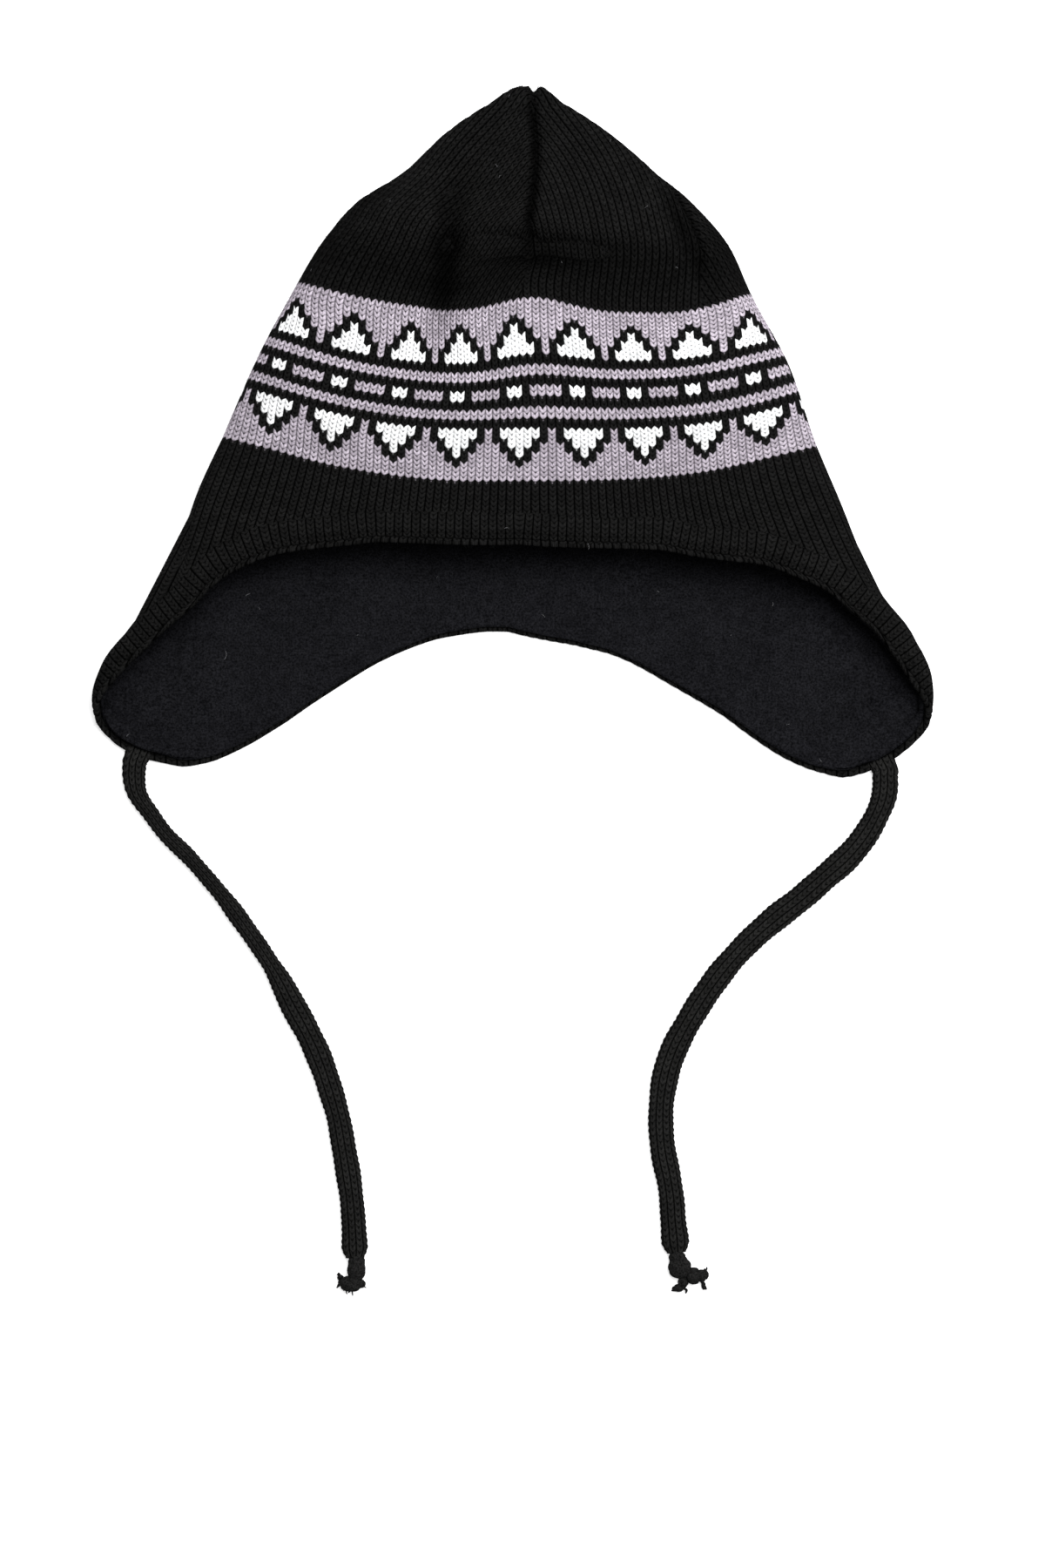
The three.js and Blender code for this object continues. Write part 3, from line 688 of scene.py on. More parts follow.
def fleece_relief(rows, turns, gores):
    """The fleece's inner face: topstitch groove, middle seam at the back and soft unevenness.
    A height here points out of the hat, so a groove in the inner face is above 0."""
    distance = (rim_row(turns) - rows) * ROW_LENGTH
    at_flap = np.exp(-(((np.abs(np.mod(turns + 180, 360) - 180) - 103) / 22) ** 4))
    depth = TOPSTITCH_DEPTH * (1 + 1.3 * at_flap)
    groove = depth * np.exp(-(((distance - TOPSTITCH_PLACE) / (1.1 * MM * (1 + 0.5 * at_flap))) ** 2))
    shoulder = -0.3 * MM * np.exp(-(((distance - TOPSTITCH_PLACE + 4 * MM) / (3 * MM)) ** 2))
    half_width = (course["right"](rows) - course["left"](rows)) * HAT_WIDTH / 4
    across = (np.mod(turns, 360) - 180) / 90 * half_width
    pucker = 1 + 0.35 * np.sin(rows * 2.1) * np.sin(rows * 0.9 + 1)
    seam = FLEECE_SEAM_DEPTH * np.exp(-((across / (1.3 * MM)) ** 2)) * pucker
    waves = 0.22 * MM * soft_noise(rows, turns, 7, 5) + 0.08 * MM * soft_noise(rows, turns, 2, 6)
    return groove + shoulder + seam + waves


def rim_shadow(points):
    """Less light on the fleece close below the front rim."""
    turns = np.linspace(-89, 89, 179)
    rim = face_points(rim_row(turns), turns)
    below = np.interp(points[:, 0], rim[:, 0], rim[:, 1]) - points[:, 1]
    inside = np.abs(points[:, 0]) < rim[:, 0].max() - 2 * MM
    near = 0.45 * np.exp(-np.maximum(below, 0) / (9 * MM)) * inside
    return 1 - near


def build_fleece_lining():
    turns, gores = gore_columns(STITCH_TURN / 1.5, STITCH_TURN / 3, 82)
    outer = KNIT_WALL + LAYER_GAP
    inner = outer + FLEECE_WALL
    at_side = np.exp(-(((np.abs(np.mod(turns + 180, 360) - 180) - 96) / 16) ** 4))
    edge = rim_row(turns) - FLEECE_SETBACK * (1 + 0.8 * at_side) / ROW_LENGTH
    wall = Wall(turns, gores)
    for row in (8, 15, 25, 34, LAST_CROWN_ROW, 55, 67, LAST_BAND_ROW):
        wall.add_line(row, outer)
    for share in (0, 0.35, 0.7):
        wall.add_line(skirt_rows(turns, 0, share), outer)
    wall.add_line(edge, outer)
    for angle in np.radians([40, 90, 140]):
        wall.add_line(edge, outer + FLEECE_WALL / 2 * (1 - math.cos(angle)),
                      FLEECE_WALL / 2 * math.sin(angle))
    wall.add_line(edge, inner, relief=fleece_relief)
    for share in np.linspace(0.8, 0, 20):
        wall.add_line(skirt_rows(turns, 0, share), inner, relief=fleece_relief)
    for share in np.linspace(1, 0, 44)[1:]:
        wall.add_line(skirt_rows(turns, share), inner, relief=fleece_relief)
    for row in (73, 67, 61, 55, 49, LAST_CROWN_ROW, 34, 25, 15, 8):
        wall.add_line(row, inner, relief=fleece_relief)
    return wall.build("fleece_lining_looks", rim_shadow)


def spline(points, spacing):
    """Points close together on a smooth curve through the given ones."""
    p = np.array(points, float)
    gaps = np.sqrt(np.linalg.norm(np.diff(p, axis=0), axis=1))
    t = np.concatenate([[0], np.cumsum(gaps)])
    slope = np.diff(p, axis=0) / gaps[:, None]
    inner = (slope[:-1] * gaps[1:, None] + slope[1:] * gaps[:-1, None]) / (gaps[1:] + gaps[:-1])[:, None]
    tangent = np.concatenate([slope[:1], inner, slope[-1:]])
    dense = np.linspace(0, t[-1], 4000)
    i = np.clip(np.searchsorted(t, dense) - 1, 0, len(gaps) - 1)
    u = ((dense - t[i]) / gaps[i])[:, None]
    g = gaps[i][:, None]
    curve = (p[i] * (1 + 2 * u) * (1 - u) ** 2 + p[i + 1] * u ** 2 * (3 - 2 * u)
             + g * u * (1 - u) * (tangent[i] * (1 - u) - tangent[i + 1] * u))
    run = np.concatenate([[0], np.cumsum(np.linalg.norm(np.diff(curve, axis=0), axis=1))])
    at = np.linspace(0, run[-1], max(2, int(round(run[-1] / spacing)) + 1))
    return np.stack([np.interp(at, run, curve[:, k]) for k in range(3)], 1), at


def tie_exit(tie):
    """Where a tie leaves the rim and the level direction in which it runs out."""
    rim = lambda turn: face_points(rim_row(turn), turn)
    along = rim(tie["turn"] + 2.0) - rim(tie["turn"] - 2.0)
    out = np.array([along[1], -along[0], 0])
    out /= np.linalg.norm(out)
    if out[1] > 0:
        out = -out
    start = rim(float(tie["turn"])) + out * TIE_GAP
    start[2] = TIE_THICKNESS / 2
    return start, out


def tie_line(tie):
    """The chosen points of a tie's middle line, from its exit to its knot."""
    start, out = tie_exit(tie)
    steps = [start, start + out * TIE_THICKNESS / 2]
    return start, out, steps + [start + np.array([x * MM, y * MM, 0]) for x, y in tie["route"]]


# How much narrower the left tie looks where it lies on its edge, by the share of its length
LEFT_TIE_SHARES = (0, 0.04, 0.1, 0.16, 0.3, 0.36, 0.46, 0.5, 0.55, 0.62, 0.7, 0.9, 1)
LEFT_TIE_NARROW = (0, 0.08, 0.28, 0.4, 0.4, 0.32, 0.3, 0.17, 0, 0, 0.06, 0.06, 0)
TIE_WALE = 2.9 * MM
TIE_ROW = 2.6 * MM
TIE_TUCK = 5 * MM
TIE_COLUMNS = 60


def tie_section(length, at, side):
    """Width and thickness of a tie along its length: it is pinched at its knot, thin where it is
    sewn in, and narrower where it lies on its edge."""
    tucked = smoothstep(at, 0, 3.2 * TIE_TUCK)
    pinch = np.exp(-(((length - at) / (2.6 * MM)) ** 2))
    swell = np.exp(-(((length - at - 6.5 * MM) / (5 * MM)) ** 2))
    share = at / length
    if side == "left":
        narrow = curve_through(LEFT_TIE_SHARES, LEFT_TIE_NARROW)(share)
    else:
        narrow = 0.03 * np.sin(share * 17)
    width = TIE_WIDTH * (1 - narrow - 0.3 * pinch + 0.03 * swell)
    thickness = TIE_THICKNESS * (0.5 + 0.5 * tucked) * (1 + 0.5 * narrow - 0.12 * pinch)
    return width, thickness


def tie_round():
    """A tie's section, as shares of its half width and of its half thickness, and the number of
    its wale at each column and once more at the first."""
    angle = np.linspace(0, 2 * np.pi, TIE_COLUMNS, endpoint=False)
    flat = np.sign(np.cos(angle)) * np.abs(np.cos(angle)) ** 0.85
    tall = np.sign(np.sin(angle)) * np.abs(np.sin(angle)) ** 0.8
    section = np.stack([flat * TIE_WIDTH, tall * TIE_THICKNESS], 1)
    steps = np.linalg.norm(np.diff(np.concatenate([section, section[:1]]), axis=0), axis=1)
    around = np.concatenate([[0], np.cumsum(steps)])
    wale_count = round(2 * (TIE_WIDTH + TIE_THICKNESS * 0.55) / TIE_WALE)
    return flat, tall, around / around[-1] * wale_count


def tie_points(side, middle, at):
    """Points of a tie's knitted tube round its middle line, and the wales round it."""
    width, thickness = tie_section(at[-1], at, side)
    lift = 1.0 * MM * (1 - smoothstep(at, TIE_TUCK * 0.6, 4 * TIE_TUCK))
    along = np.gradient(middle, axis=0)
    along /= np.linalg.norm(along, axis=1, keepdims=True)
    across = np.stack([-along[:, 1], along[:, 0], np.zeros(len(at))], 1)
    flat, tall, wale_at = tie_round()
    ridge = wale_ridge(wale_at[:-1])
    wander = 1 + 0.025 * np.sin(at / (6.1 * MM)) + 0.02 * np.sin(at / (2.7 * MM) + 1.3)
    points = np.zeros((len(at), TIE_COLUMNS, 3))
    for j in range(TIE_COLUMNS):
        stitch = at / TIE_ROW + 0.5 * (int(wale_at[j]) % 2) + 0.1 * np.sin(at / (9 * MM))
        knob = np.sin(2 * np.pi * stitch)
        grow = 0.42 * MM * (ridge[j] - 0.4) + 0.2 * MM * knob * ridge[j]
        side_reach = flat[j] * (width / 2 * wander + grow)
        up_reach = tall[j] * (thickness / 2 + grow)
        points[:, j] = middle + across * side_reach[:, None]
        points[:, j, 2] = thickness / 2 + lift + up_reach
    points[..., 2] = np.maximum(points[..., 2], ABOVE_FLOOR)
    return points, wale_at


def build_tie(side, tie):
    start, out, steps = tie_line(tie)
    middle, at = spline([start - out * TIE_TUCK] + steps, 0.55 * MM)
    points, wale_at = tie_points(side, middle, at)
    every = np.concatenate([middle[:1], points.reshape(-1, 3), middle[-1:]])
    every[0, 2] = points[0, :, 2].mean()
    every[-1, 2] = points[-1, :, 2].mean()
    rows = -at[:, None] / TIE_ROW
    a = np.stack(np.broadcast_arrays(wale_at[None, :-1], rows), -1)
    b = np.stack(np.broadcast_arrays(wale_at[None, 1:], rows), -1)
    faces = lathe_faces(len(at), TIE_COLUMNS)
    cord = new_mesh(f"tie_cord_{side}_looks", every, faces, lathe_uv(a, b))
    return cord, start, middle, at[-1]


# Knots, in mm from the end of their tie in X and Y. lobes: middle, then half sizes in X, Y and Z.
# locks: from, to, number of strands and how far they spread
KNOTS = {
    "left": {
        "lobes": (
            ((0.6, -1.6), (3.6, 3.4, 2.7)), ((0.5, -5), (3.9, 5.6, 3)), ((-1.6, -10.6), (5, 3.6, 3)),
            ((-6.1, -8.3), (1.4, 1.3, 1.2)), ((-5.2, -10.2), (2, 1.8, 1.6)),
            ((2.4, -10.8), (2, 1.9, 1.7)),
        ),
        "locks": (
            ((-5, -9.5), (-7.2, -12.2), 4, 0.9),
            ((-1.6, -11.5), (-3, -14), 6, 1.8),
            ((1.5, -11), (3.2, -12.6), 3, 1),
            ((-5.5, -8), (-7.2, -6.8), 3, 0.6),
        ),
    },
    "right": {
        "lobes": (
            ((0.2, -2), (3.6, 3.4, 2.7)), ((1.2, -5.9), (4.9, 5.1, 3.2)), ((7, -9.6), (3.3, 3.8, 2.6)),
            ((10.2, -9.6), (2.5, 2.8, 2)), ((11.8, -9.3), (1.6, 2.1, 1.6)),
            ((2.7, -12.2), (2.3, 2.6, 1.9)), ((0.9, -14.7), (2.2, 1.8, 1.6)),
            ((-0.8, -15), (1.2, 1.1, 1.1)),
        ),
        "locks": (
            ((10.2, -11), (12, -15.2), 5, 0.8),
            ((11, -8.6), (12.4, -6.6), 2, 0.5),
            ((3.4, -14.5), (4.2, -16.8), 2, 0.5),
            ((-0.2, -15.2), (-1.8, -15.6), 2, 0.5),
        ),
    },
}


def lobe_mesh(middle, half):
    """A lumpy ball of yarn wound aslant."""
    rings, columns = 22, 40
    points = []
    for i in range(rings):
        polar = np.pi * (i + 0.5) / rings
        angle = np.linspace(0, 2 * np.pi, columns, endpoint=False)
        wound = np.abs(np.sin(2.5 * angle + 4 * polar)) * np.sin(polar)
        reach = 0.9 + 0.12 * wound + 0.03 * np.sin(3 * angle + 5 * polar)
        ring = np.stack([np.sin(polar) * np.cos(angle), np.full(columns, np.cos(polar)),
                         np.sin(polar) * np.sin(angle)], 1)
        points.append(np.array(middle) + ring * reach[:, None] * np.array(half))
    tips = [np.array(middle) + np.array([0, sign * half[1] * 0.92, 0]) for sign in (1, -1)]
    return np.concatenate([[tips[0]], np.concatenate(points), [tips[1]]]), lathe_faces(rings, columns)


def strand_mesh(line, radius):
    """A thin tapering tube along a line."""
    sides = 6 if radius > 0.3 * MM else 3
    along = np.gradient(line, axis=0)
    along /= np.maximum(np.linalg.norm(along, axis=1, keepdims=True), 1e-9)
    beside = np.cross(along, [0, 0, 1.0])
    beside /= np.maximum(np.linalg.norm(beside, axis=1, keepdims=True), 1e-9)
    above = np.cross(beside, along)
    angle = np.linspace(0, 2 * np.pi, sides, endpoint=False)
    taper = radius * (1 - 0.45 * np.linspace(0, 1, len(line)) ** 2)
    ring = beside[:, None] * np.cos(angle)[:, None] + above[:, None] * np.sin(angle)[:, None]
    points = line[:, None] + ring * taper[:, None, None]
    return np.concatenate([line[:1], points.reshape(-1, 3), line[-1:]]), lathe_faces(len(line), sides)


def join_meshes(parts):
    points, faces, start = [], [], 0
    for part_points, part_faces in parts:
        points.append(part_points)
        faces += [tuple(k + start for k in face) for face in part_faces]
        start += len(part_points)
    return np.concatenate(points), faces


def lock_strands(lock, floor, rng):
    """Short curling strands of a frayed lock."""
    begin, end, count, spread = lock
    for _ in range(count):
        first = np.array([*begin, 0.0]) + np.append(rng.normal(0, 0.35 * spread, 2), rng.uniform(1.2, 3.4))
        last = np.array([*end, 0.0]) + np.append(rng.normal(0, 0.55 * spread, 2), rng.uniform(0.6, 2.8))
        bend = np.append(rng.normal(0, 0.7 * spread, 2), rng.uniform(0, 0.8))
        t = np.linspace(0, 1, 12)[:, None]
        wave = np.sin(t * 7 + rng.uniform(0, 6)) * 0.22
        line = first + (last - first) * t + bend * 4 * t * (1 - t) * 0.5
        line[:, :1] += wave
        line[:, 2] = np.maximum(line[:, 2], 0.55)
        yield strand_mesh(line * MM + floor, rng.uniform(0.4, 0.62) * MM)


def build_knot(side, end):
    """The wound knot at a tie's end and its frayed locks."""
    rng = np.random.default_rng(11 if side == "left" else 12)
    floor = np.array([end[0], end[1], 0])
    parts = []
    for (x, y), half in KNOTS[side]["lobes"]:
        parts.append(lobe_mesh(floor + np.array([x, y, half[2]]) * MM, np.array(half) * MM))
    for lock in KNOTS[side]["locks"]:
        parts += lock_strands(lock, floor, rng)
    points, faces = join_meshes(parts)
    points[:, 2] = np.maximum(points[:, 2], ABOVE_FLOOR)
    return new_mesh(f"tie_end_{side}_looks", points, faces)


# Lint hairs: place in X and Y, length and direction in degrees
LINT = (
    (-1.3, 136.9, 1.6, 70), (-11.4, 132.6, 1.2, 20), (-6.3, 106.3, 2.4, 120), (-5.3, 101.6, 1.4, 60),
    (54.5, 89.3, 1.8, 35), (66.7, 64.1, 1.5, 150), (-82.3, 64.5, 1.3, 80), (-2.4, -41.4, 2.2, 10),
    (31.1, -48.8, 3.2, 95), (12.7, -75.9, 2, 140), (-109.3, -67.2, 2.6, 30), (-104.3, -73, 1.5, 100),
    (-118, -92.4, 5, 75), (-158.6, -125.2, 2, 50), (107.4, -71.2, 2.2, 85), (113.5, -120.9, 1.6, 15),
    (126.9, -135.6, 2, 130), (-31, -60, 1.2, 45), (60, -66, 1.4, 160), (-64, -84, 1.3, 20),
    (20, 66, 1, 110), (-50, 92, 1.1, 40), (40, 118, 1, 70), (90, -84, 1.2, 10),
)


def build_lint(pieces):
    """Short light hairs that lie on the hat where the pieces' surface is highest."""
    bpy.context.view_layer.update()
    rng = np.random.default_rng(21)
    parts = []
    for x, y, length, angle in LINT:
        here = (x * MM, y * MM, 0.2)
        hits = [piece.ray_cast(here, (0, 0, -1)) for piece in pieces]
        heights = [hit[1][2] for hit in hits if hit[0]]
        if not heights:
            continue
        t = np.linspace(-0.5, 0.5, 9)
        turned = math.radians(angle) + t * rng.uniform(-1.6, 1.6)
        step = np.stack([np.cos(turned), np.sin(turned), np.zeros(9)], 1) * length / 9
        line = np.cumsum(step, 0)
        line += np.array([x, y, max(heights) / MM + 0.45]) - line[4]
        line[:, 2] += 0.25 * np.cos(t * 6)
        parts.append(strand_mesh(line * MM, 0.05 * MM))
    return new_mesh("lint_looks", *join_meshes(parts))


def build_fuzz(name, piece, count, seed):
    """Fine loose fibres that stand off the sides of a knitted piece."""
    rng = np.random.default_rng(seed)
    mesh = piece.data
    places = np.zeros(len(mesh.vertices) * 3, np.float32)
    normals = np.zeros(len(mesh.vertices) * 3, np.float32)
    mesh.vertices.foreach_get("co", places)
    mesh.vertex_normals.foreach_get("vector", normals)
    places, normals = places.reshape(-1, 3).astype(float), normals.reshape(-1, 3).astype(float)
    sides = np.flatnonzero((np.abs(normals[:, 2]) < 0.75) & (places[:, 2] > 0.4 * MM))
    parts = []
    for i in rng.choice(sides, count):
        away = normals[i] + rng.normal(0, 0.45, 3)
        curl = rng.normal(0, 0.5, 3)
        t = np.linspace(0, 1, 5)[:, None]
        reach = rng.uniform(0.5, 1.25) * MM
        line = places[i] - normals[i] * 0.15 * MM + (away * t + curl * t ** 2) * reach
        line[:, 2] = np.maximum(line[:, 2], 0.1 * MM)
        parts.append(strand_mesh(line, 0.035 * MM))
    return new_mesh(name, *join_meshes(parts))


def lint_material():
    n = Nodes("lint")
    n.shader.inputs["Base Color"].default_value = (0.24, 0.24, 0.25, 1)
    n.shader.inputs["Roughness"].default_value = 0.9
    return n.material


class Nodes:
    """Short calls for building a material's node tree."""

    def __init__(self, name):
        self.material = bpy.data.materials.new(name)
        self.material.use_nodes = True
        self.tree = self.material.node_tree
        self.shader = self.tree.nodes["Principled BSDF"]

    def node(self, kind, **settings):
        made = self.tree.nodes.new(kind)
        for key, value in settings.items():
            setattr(made, key, value)
        return made

    def put(self, socket, value):
        if isinstance(value, bpy.types.NodeSocket):
            self.tree.links.new(value, socket)
        else:
            socket.default_value = value

    def math(self, operation, *values, clamp=False):
        made = self.node("ShaderNodeMath", operation=operation, use_clamp=clamp)
        for i, value in enumerate(values):
            self.put(made.inputs[i], value)
        return made.outputs[0]

    def step(self, value, low, high, out_low=0.0, out_high=1.0):
        """A smooth step of value from low to high."""
        made = self.node("ShaderNodeMapRange", interpolation_type="SMOOTHSTEP")
        for i, item in enumerate((value, low, high, out_low, out_high)):
            self.put(made.inputs[i], item)
        return made.outputs[0]

    def mix(self, factor, first, second, blend="MIX"):
        made = self.node("ShaderNodeMix", data_type="RGBA", blend_type=blend)
        self.put(made.inputs[0], factor)
        self.put(made.inputs[6], first)
        self.put(made.inputs[7], second)
        return made.outputs[2]

    def noise(self, vector, scale, detail=2.0, roughness=0.5):
        made = self.node("ShaderNodeTexNoise")
        self.put(made.inputs["Vector"], vector)
        self.put(made.inputs["Scale"], scale)
        self.put(made.inputs["Detail"], detail)
        self.put(made.inputs["Roughness"], roughness)
        return made.outputs["Fac"]

    def combine(self, x, y, z=0.0):
        made = self.node("ShaderNodeCombineXYZ")
        for socket, value in zip(made.inputs, (x, y, z)):
            self.put(socket, value)
        return made.outputs[0]

    def bump(self, height, distance, strength=1.0, normal=None):
        made = self.node("ShaderNodeBump")
        made.inputs["Strength"].default_value = strength
        made.inputs["Distance"].default_value = distance
        self.put(made.inputs["Height"], height)
        if normal is not None:
            self.put(made.inputs["Normal"], normal)
        return made.outputs[0]


BLACK_YARN = (0.0078, 0.0077, 0.0076, 1)
TIE_YARN = (0.0132, 0.013, 0.0126, 1)
GREY_YARN = (0.395, 0.352, 0.404, 1)
WHITE_YARN = (0.87, 0.875, 0.885, 1)
STITCH_SLANT = 0.66

# The band's chart, from its top down: rows, then how many stitches to each side of the motif's
# middle are white and how many are white or black, and how far that middle is set to the left
CHART = (
    (3, 0, 0, 0),
    (1, 0, 0.5, 0),
    (1, 0, 1.5, 0),
    (1, 0.5, 1.5, 0),
    (1, 0.5, 2.5, 0),
    (1, 1.5, 2.5, 0),
    (1, 1.5, 3.5, 0),
    (2, 2.5, 3.5, 0),
    (2, 0, 9, 0),
    (2, 0, 0, 0),
    (2, 0, 9, 0),
    (2, 1, 2, 0.5),
    (2, 0, 9, 0),
    (2, 0, 0, 0),
    (2, 0, 9, 0),
    (2, 2.5, 3.5, 0),
    (1, 1.5, 3.5, 0),
    (1, 1.5, 2.5, 0),
    (1, 0.5, 2.5, 0),
    (1, 0.5, 1.5, 0),
    (1, 0, 1.5, 0),
    (1, 0, 0.5, 0),
    (3, 0, 0, 0),
)
REPEAT = 8
MOTIF_STITCH = 0


class Stitches:
    """The places of the knitted stitches in a material: each stitch is a V of two legs."""

    def __init__(self, n):
        uv = n.node("ShaderNodeUVMap", uv_map="stitches").outputs[0]
        split = n.node("ShaderNodeSeparateXYZ")
        n.put(split.inputs[0], uv)
        self.wale = split.outputs[0]
        self.row = n.math("MULTIPLY", split.outputs[1], -1.0)
        part = n.math("FRACT", self.wale)
        self.number = n.math("FLOOR", self.wale)
        self.side = n.math("ABSOLUTE", n.math("MULTIPLY_ADD", part, 2.0, -1.0))
        slanted = n.math("MULTIPLY_ADD", self.side, STITCH_SLANT, self.row)
        self.course = n.math("FLOOR", slanted)
        self.across = n.math("FRACT", slanted)
        random = n.node("ShaderNodeTexWhiteNoise", noise_dimensions="2D")
        n.put(random.inputs["Vector"], n.combine(self.number, self.course))
        self.random = random.outputs["Value"]
        middle = n.math("MULTIPLY_ADD", self.across, 2.0, -1.0)
        self.leg = n.math("SUBTRACT", 1.0, n.math("POWER", n.math("ABSOLUTE", middle), 2.2))
        groove = n.step(self.side, 0.62, 1.0)
        split_line = n.step(self.side, 0.0, 0.3, 1.0, 0.0)
        self.ridge = n.math("SUBTRACT", n.math("SUBTRACT", 1.0, groove),
                            n.math("MULTIPLY", split_line, 0.45))
        edge = n.math("MINIMUM", self.across, n.math("SUBTRACT", 1.0, self.across))
        hole_across = n.step(self.side, 0.1, 0.42, 1.0, 0.0)
        self.hole = n.math("MULTIPLY", hole_across, n.step(edge, 0.02, 0.3, 1.0, 0.0))
        self.vector = n.combine(self.wale, slanted)

    def fibres(self, n):
        """Fine streaks along the legs."""
        split = n.node("ShaderNodeSeparateXYZ")
        n.put(split.inputs[0], self.vector)
        stretched = n.combine(n.math("MULTIPLY", split.outputs[0], 4.0),
                              n.math("MULTIPLY", split.outputs[1], 9.0), self.random)
        return n.noise(stretched, 1.6, 3.0, 0.6)


def chart_colour(n, number, course):
    """The yarn's colour at a stitch: the band's chart, and black elsewhere."""
    shifted = n.math("SUBTRACT", course, float(LAST_CROWN_ROW) - 0.5)
    rows = LAST_BAND_ROW - LAST_CROWN_ROW
    ramp = n.node("ShaderNodeValToRGB")
    ramp.color_ramp.interpolation = "CONSTANT"
    ramp.color_ramp.elements.remove(ramp.color_ramp.elements[1])
    top = 0
    for i, (count, white, dark, offset) in enumerate(CHART):
        place = ramp.color_ramp.elements[0] if i == 0 else ramp.color_ramp.elements.new(top / rows)
        place.position = top / rows
        place.color = (white / 10, dark / 10, offset, 1)
        top += count
    n.put(ramp.inputs[0], n.math("DIVIDE", shifted, float(rows)))
    levels = n.node("ShaderNodeSeparateColor")
    n.put(levels.inputs[0], ramp.outputs[0])
    white, dark, offset = levels.outputs
    place = n.math("ADD", n.math("SUBTRACT", number, float(MOTIF_STITCH)), offset)
    centred = n.math("ADD", place, REPEAT / 2 + 0.001)
    away = n.math("SUBTRACT", n.math("FLOORED_MODULO", centred, float(REPEAT)), REPEAT / 2 + 0.001)
    away = n.math("ABSOLUTE", away)
    is_white = n.math("LESS_THAN", away, n.math("MULTIPLY", white, 10.0))
    is_dark = n.math("LESS_THAN", away, n.math("MULTIPLY", dark, 10.0))
    inside = n.math("MULTIPLY", n.math("GREATER_THAN", shifted, 0.0),
                    n.math("LESS_THAN", shifted, float(rows)))
    patterned = n.mix(is_white, n.mix(is_dark, GREY_YARN, BLACK_YARN), WHITE_YARN)
    light = n.math("MULTIPLY", inside, n.math("SUBTRACT", 1.0, is_dark))
    light = n.math("MAXIMUM", light, n.math("MULTIPLY", inside, is_white))
    return n.mix(inside, BLACK_YARN, patterned), n.math("MULTIPLY", inside, is_white), light


def painted_shade(n):
    """The painted shade that the mesh stores for a place: 1 where open, less in seams, dents and creases.
    """
    stored = n.node("ShaderNodeAttribute", attribute_name="painted_shade")
    return stored.outputs["Fac"]


def stitch_shade(n, s, fibres, leg_edge_shade, groove_shade, hole, flecks):
    """Light and dark of the stitches, as a product of their parts: tone that differs from stitch to
    stitch, fibre streaks and fuzz are the yarn's own colour; the darker leg edges, wale grooves and
    holes are painted shade.
    """
    strands = n.step(fibres, 0.3, 0.7, flecks[0], flecks[1])
    fuzz = n.step(n.noise(s.vector, 6.0, 4.0, 0.7), 0.3, 0.7, 0.82, 1.18)
    shade = n.math("MULTIPLY", n.step(s.random, 0.0, 1.0, 0.84, 1.14), n.math("MULTIPLY", strands, fuzz))
    # painted shade: darker at the legs' edges, in the grooves between wales and in the holes between legs
    legs = n.step(s.leg, 0.0, 0.8, leg_edge_shade, 1.0)
    ridges = n.step(s.ridge, 0.0, 0.75, groove_shade, 1.0)
    holes = n.math("SUBTRACT", 1.0, n.math("MULTIPLY", s.hole, hole))
    return n.math("MULTIPLY", n.math("MULTIPLY", shade, legs), n.math("MULTIPLY", ridges, holes))


def knit_material(name, charted):
    """Knitted yarn, with the band's chart or all black."""
    n = Nodes(name)
    s = Stitches(n)
    fibres = s.fibres(n)
    dark_shade = stitch_shade(n, s, fibres, 0.6, 0.06, 0.5, (0.4, 1.6))
    if charted:
        yarn, is_white, is_light = chart_colour(n, s.number, s.course)
        above = chart_colour(n, s.number, n.math("SUBTRACT", s.course, 1.0))[0]
        near_split = n.step(s.side, 0.06, 0.24, 1.0, 0.0)
        near_top = n.step(s.across, 0.12, 0.34, 1.0, 0.0)
        peek = n.math("MULTIPLY", near_split, near_top)
        peek = n.math("MULTIPLY", peek, n.step(s.random, 0.2, 0.9, 0.1, 0.75))
        yarn = n.mix(peek, yarn, above)
        grey_shade = stitch_shade(n, s, fibres, 0.5, 0.36, 0.8, (0.44, 1.56))
        white_shade = stitch_shade(n, s, fibres, 0.8, 0.66, 0.6, (0.9, 1.08))
        light_shade = n.mix(is_white, n.combine(grey_shade, grey_shade, grey_shade),
                            n.combine(white_shade, white_shade, white_shade))
        # painted light and shade: the band's grey and white are painted lighter towards its upper rows and
        # a little darker towards its lower rows
        lower = n.step(s.row, LAST_CROWN_ROW + 8.0, LAST_BAND_ROW - 4.0, 1.13, 0.98)
        light_shade = n.mix(1.0, light_shade, n.combine(lower, lower, lower), "MULTIPLY")
        total = n.mix(is_light, n.combine(dark_shade, dark_shade, dark_shade), light_shade)
        # painted shade: the stored shade darkens the yarn's colour in seams, dents, at the crown's foot
        # and at the hem band's edges
        depth = painted_shade(n)
        total = n.mix(1.0, total, n.combine(depth, depth, depth), "MULTIPLY")
    else:
        yarn = TIE_YARN
        total = n.combine(dark_shade, dark_shade, dark_shade)
    n.put(n.shader.inputs["Base Color"], n.mix(1.0, yarn, total, "MULTIPLY"))
    n.shader.inputs["Roughness"].default_value = 0.95
    n.shader.inputs["Specular IOR Level"].default_value = 0.005
    height = n.math("ADD", n.math("MULTIPLY", s.leg, 0.55), n.math("MULTIPLY", s.ridge, 0.6))
    height = n.math("SUBTRACT", height, n.math("MULTIPLY", s.hole, 0.35))
    height = n.math("MULTIPLY_ADD", fibres, 0.3, height)
    n.put(n.shader.inputs["Normal"], n.bump(height, 0.7 * MM, 0.9))
    return n.material


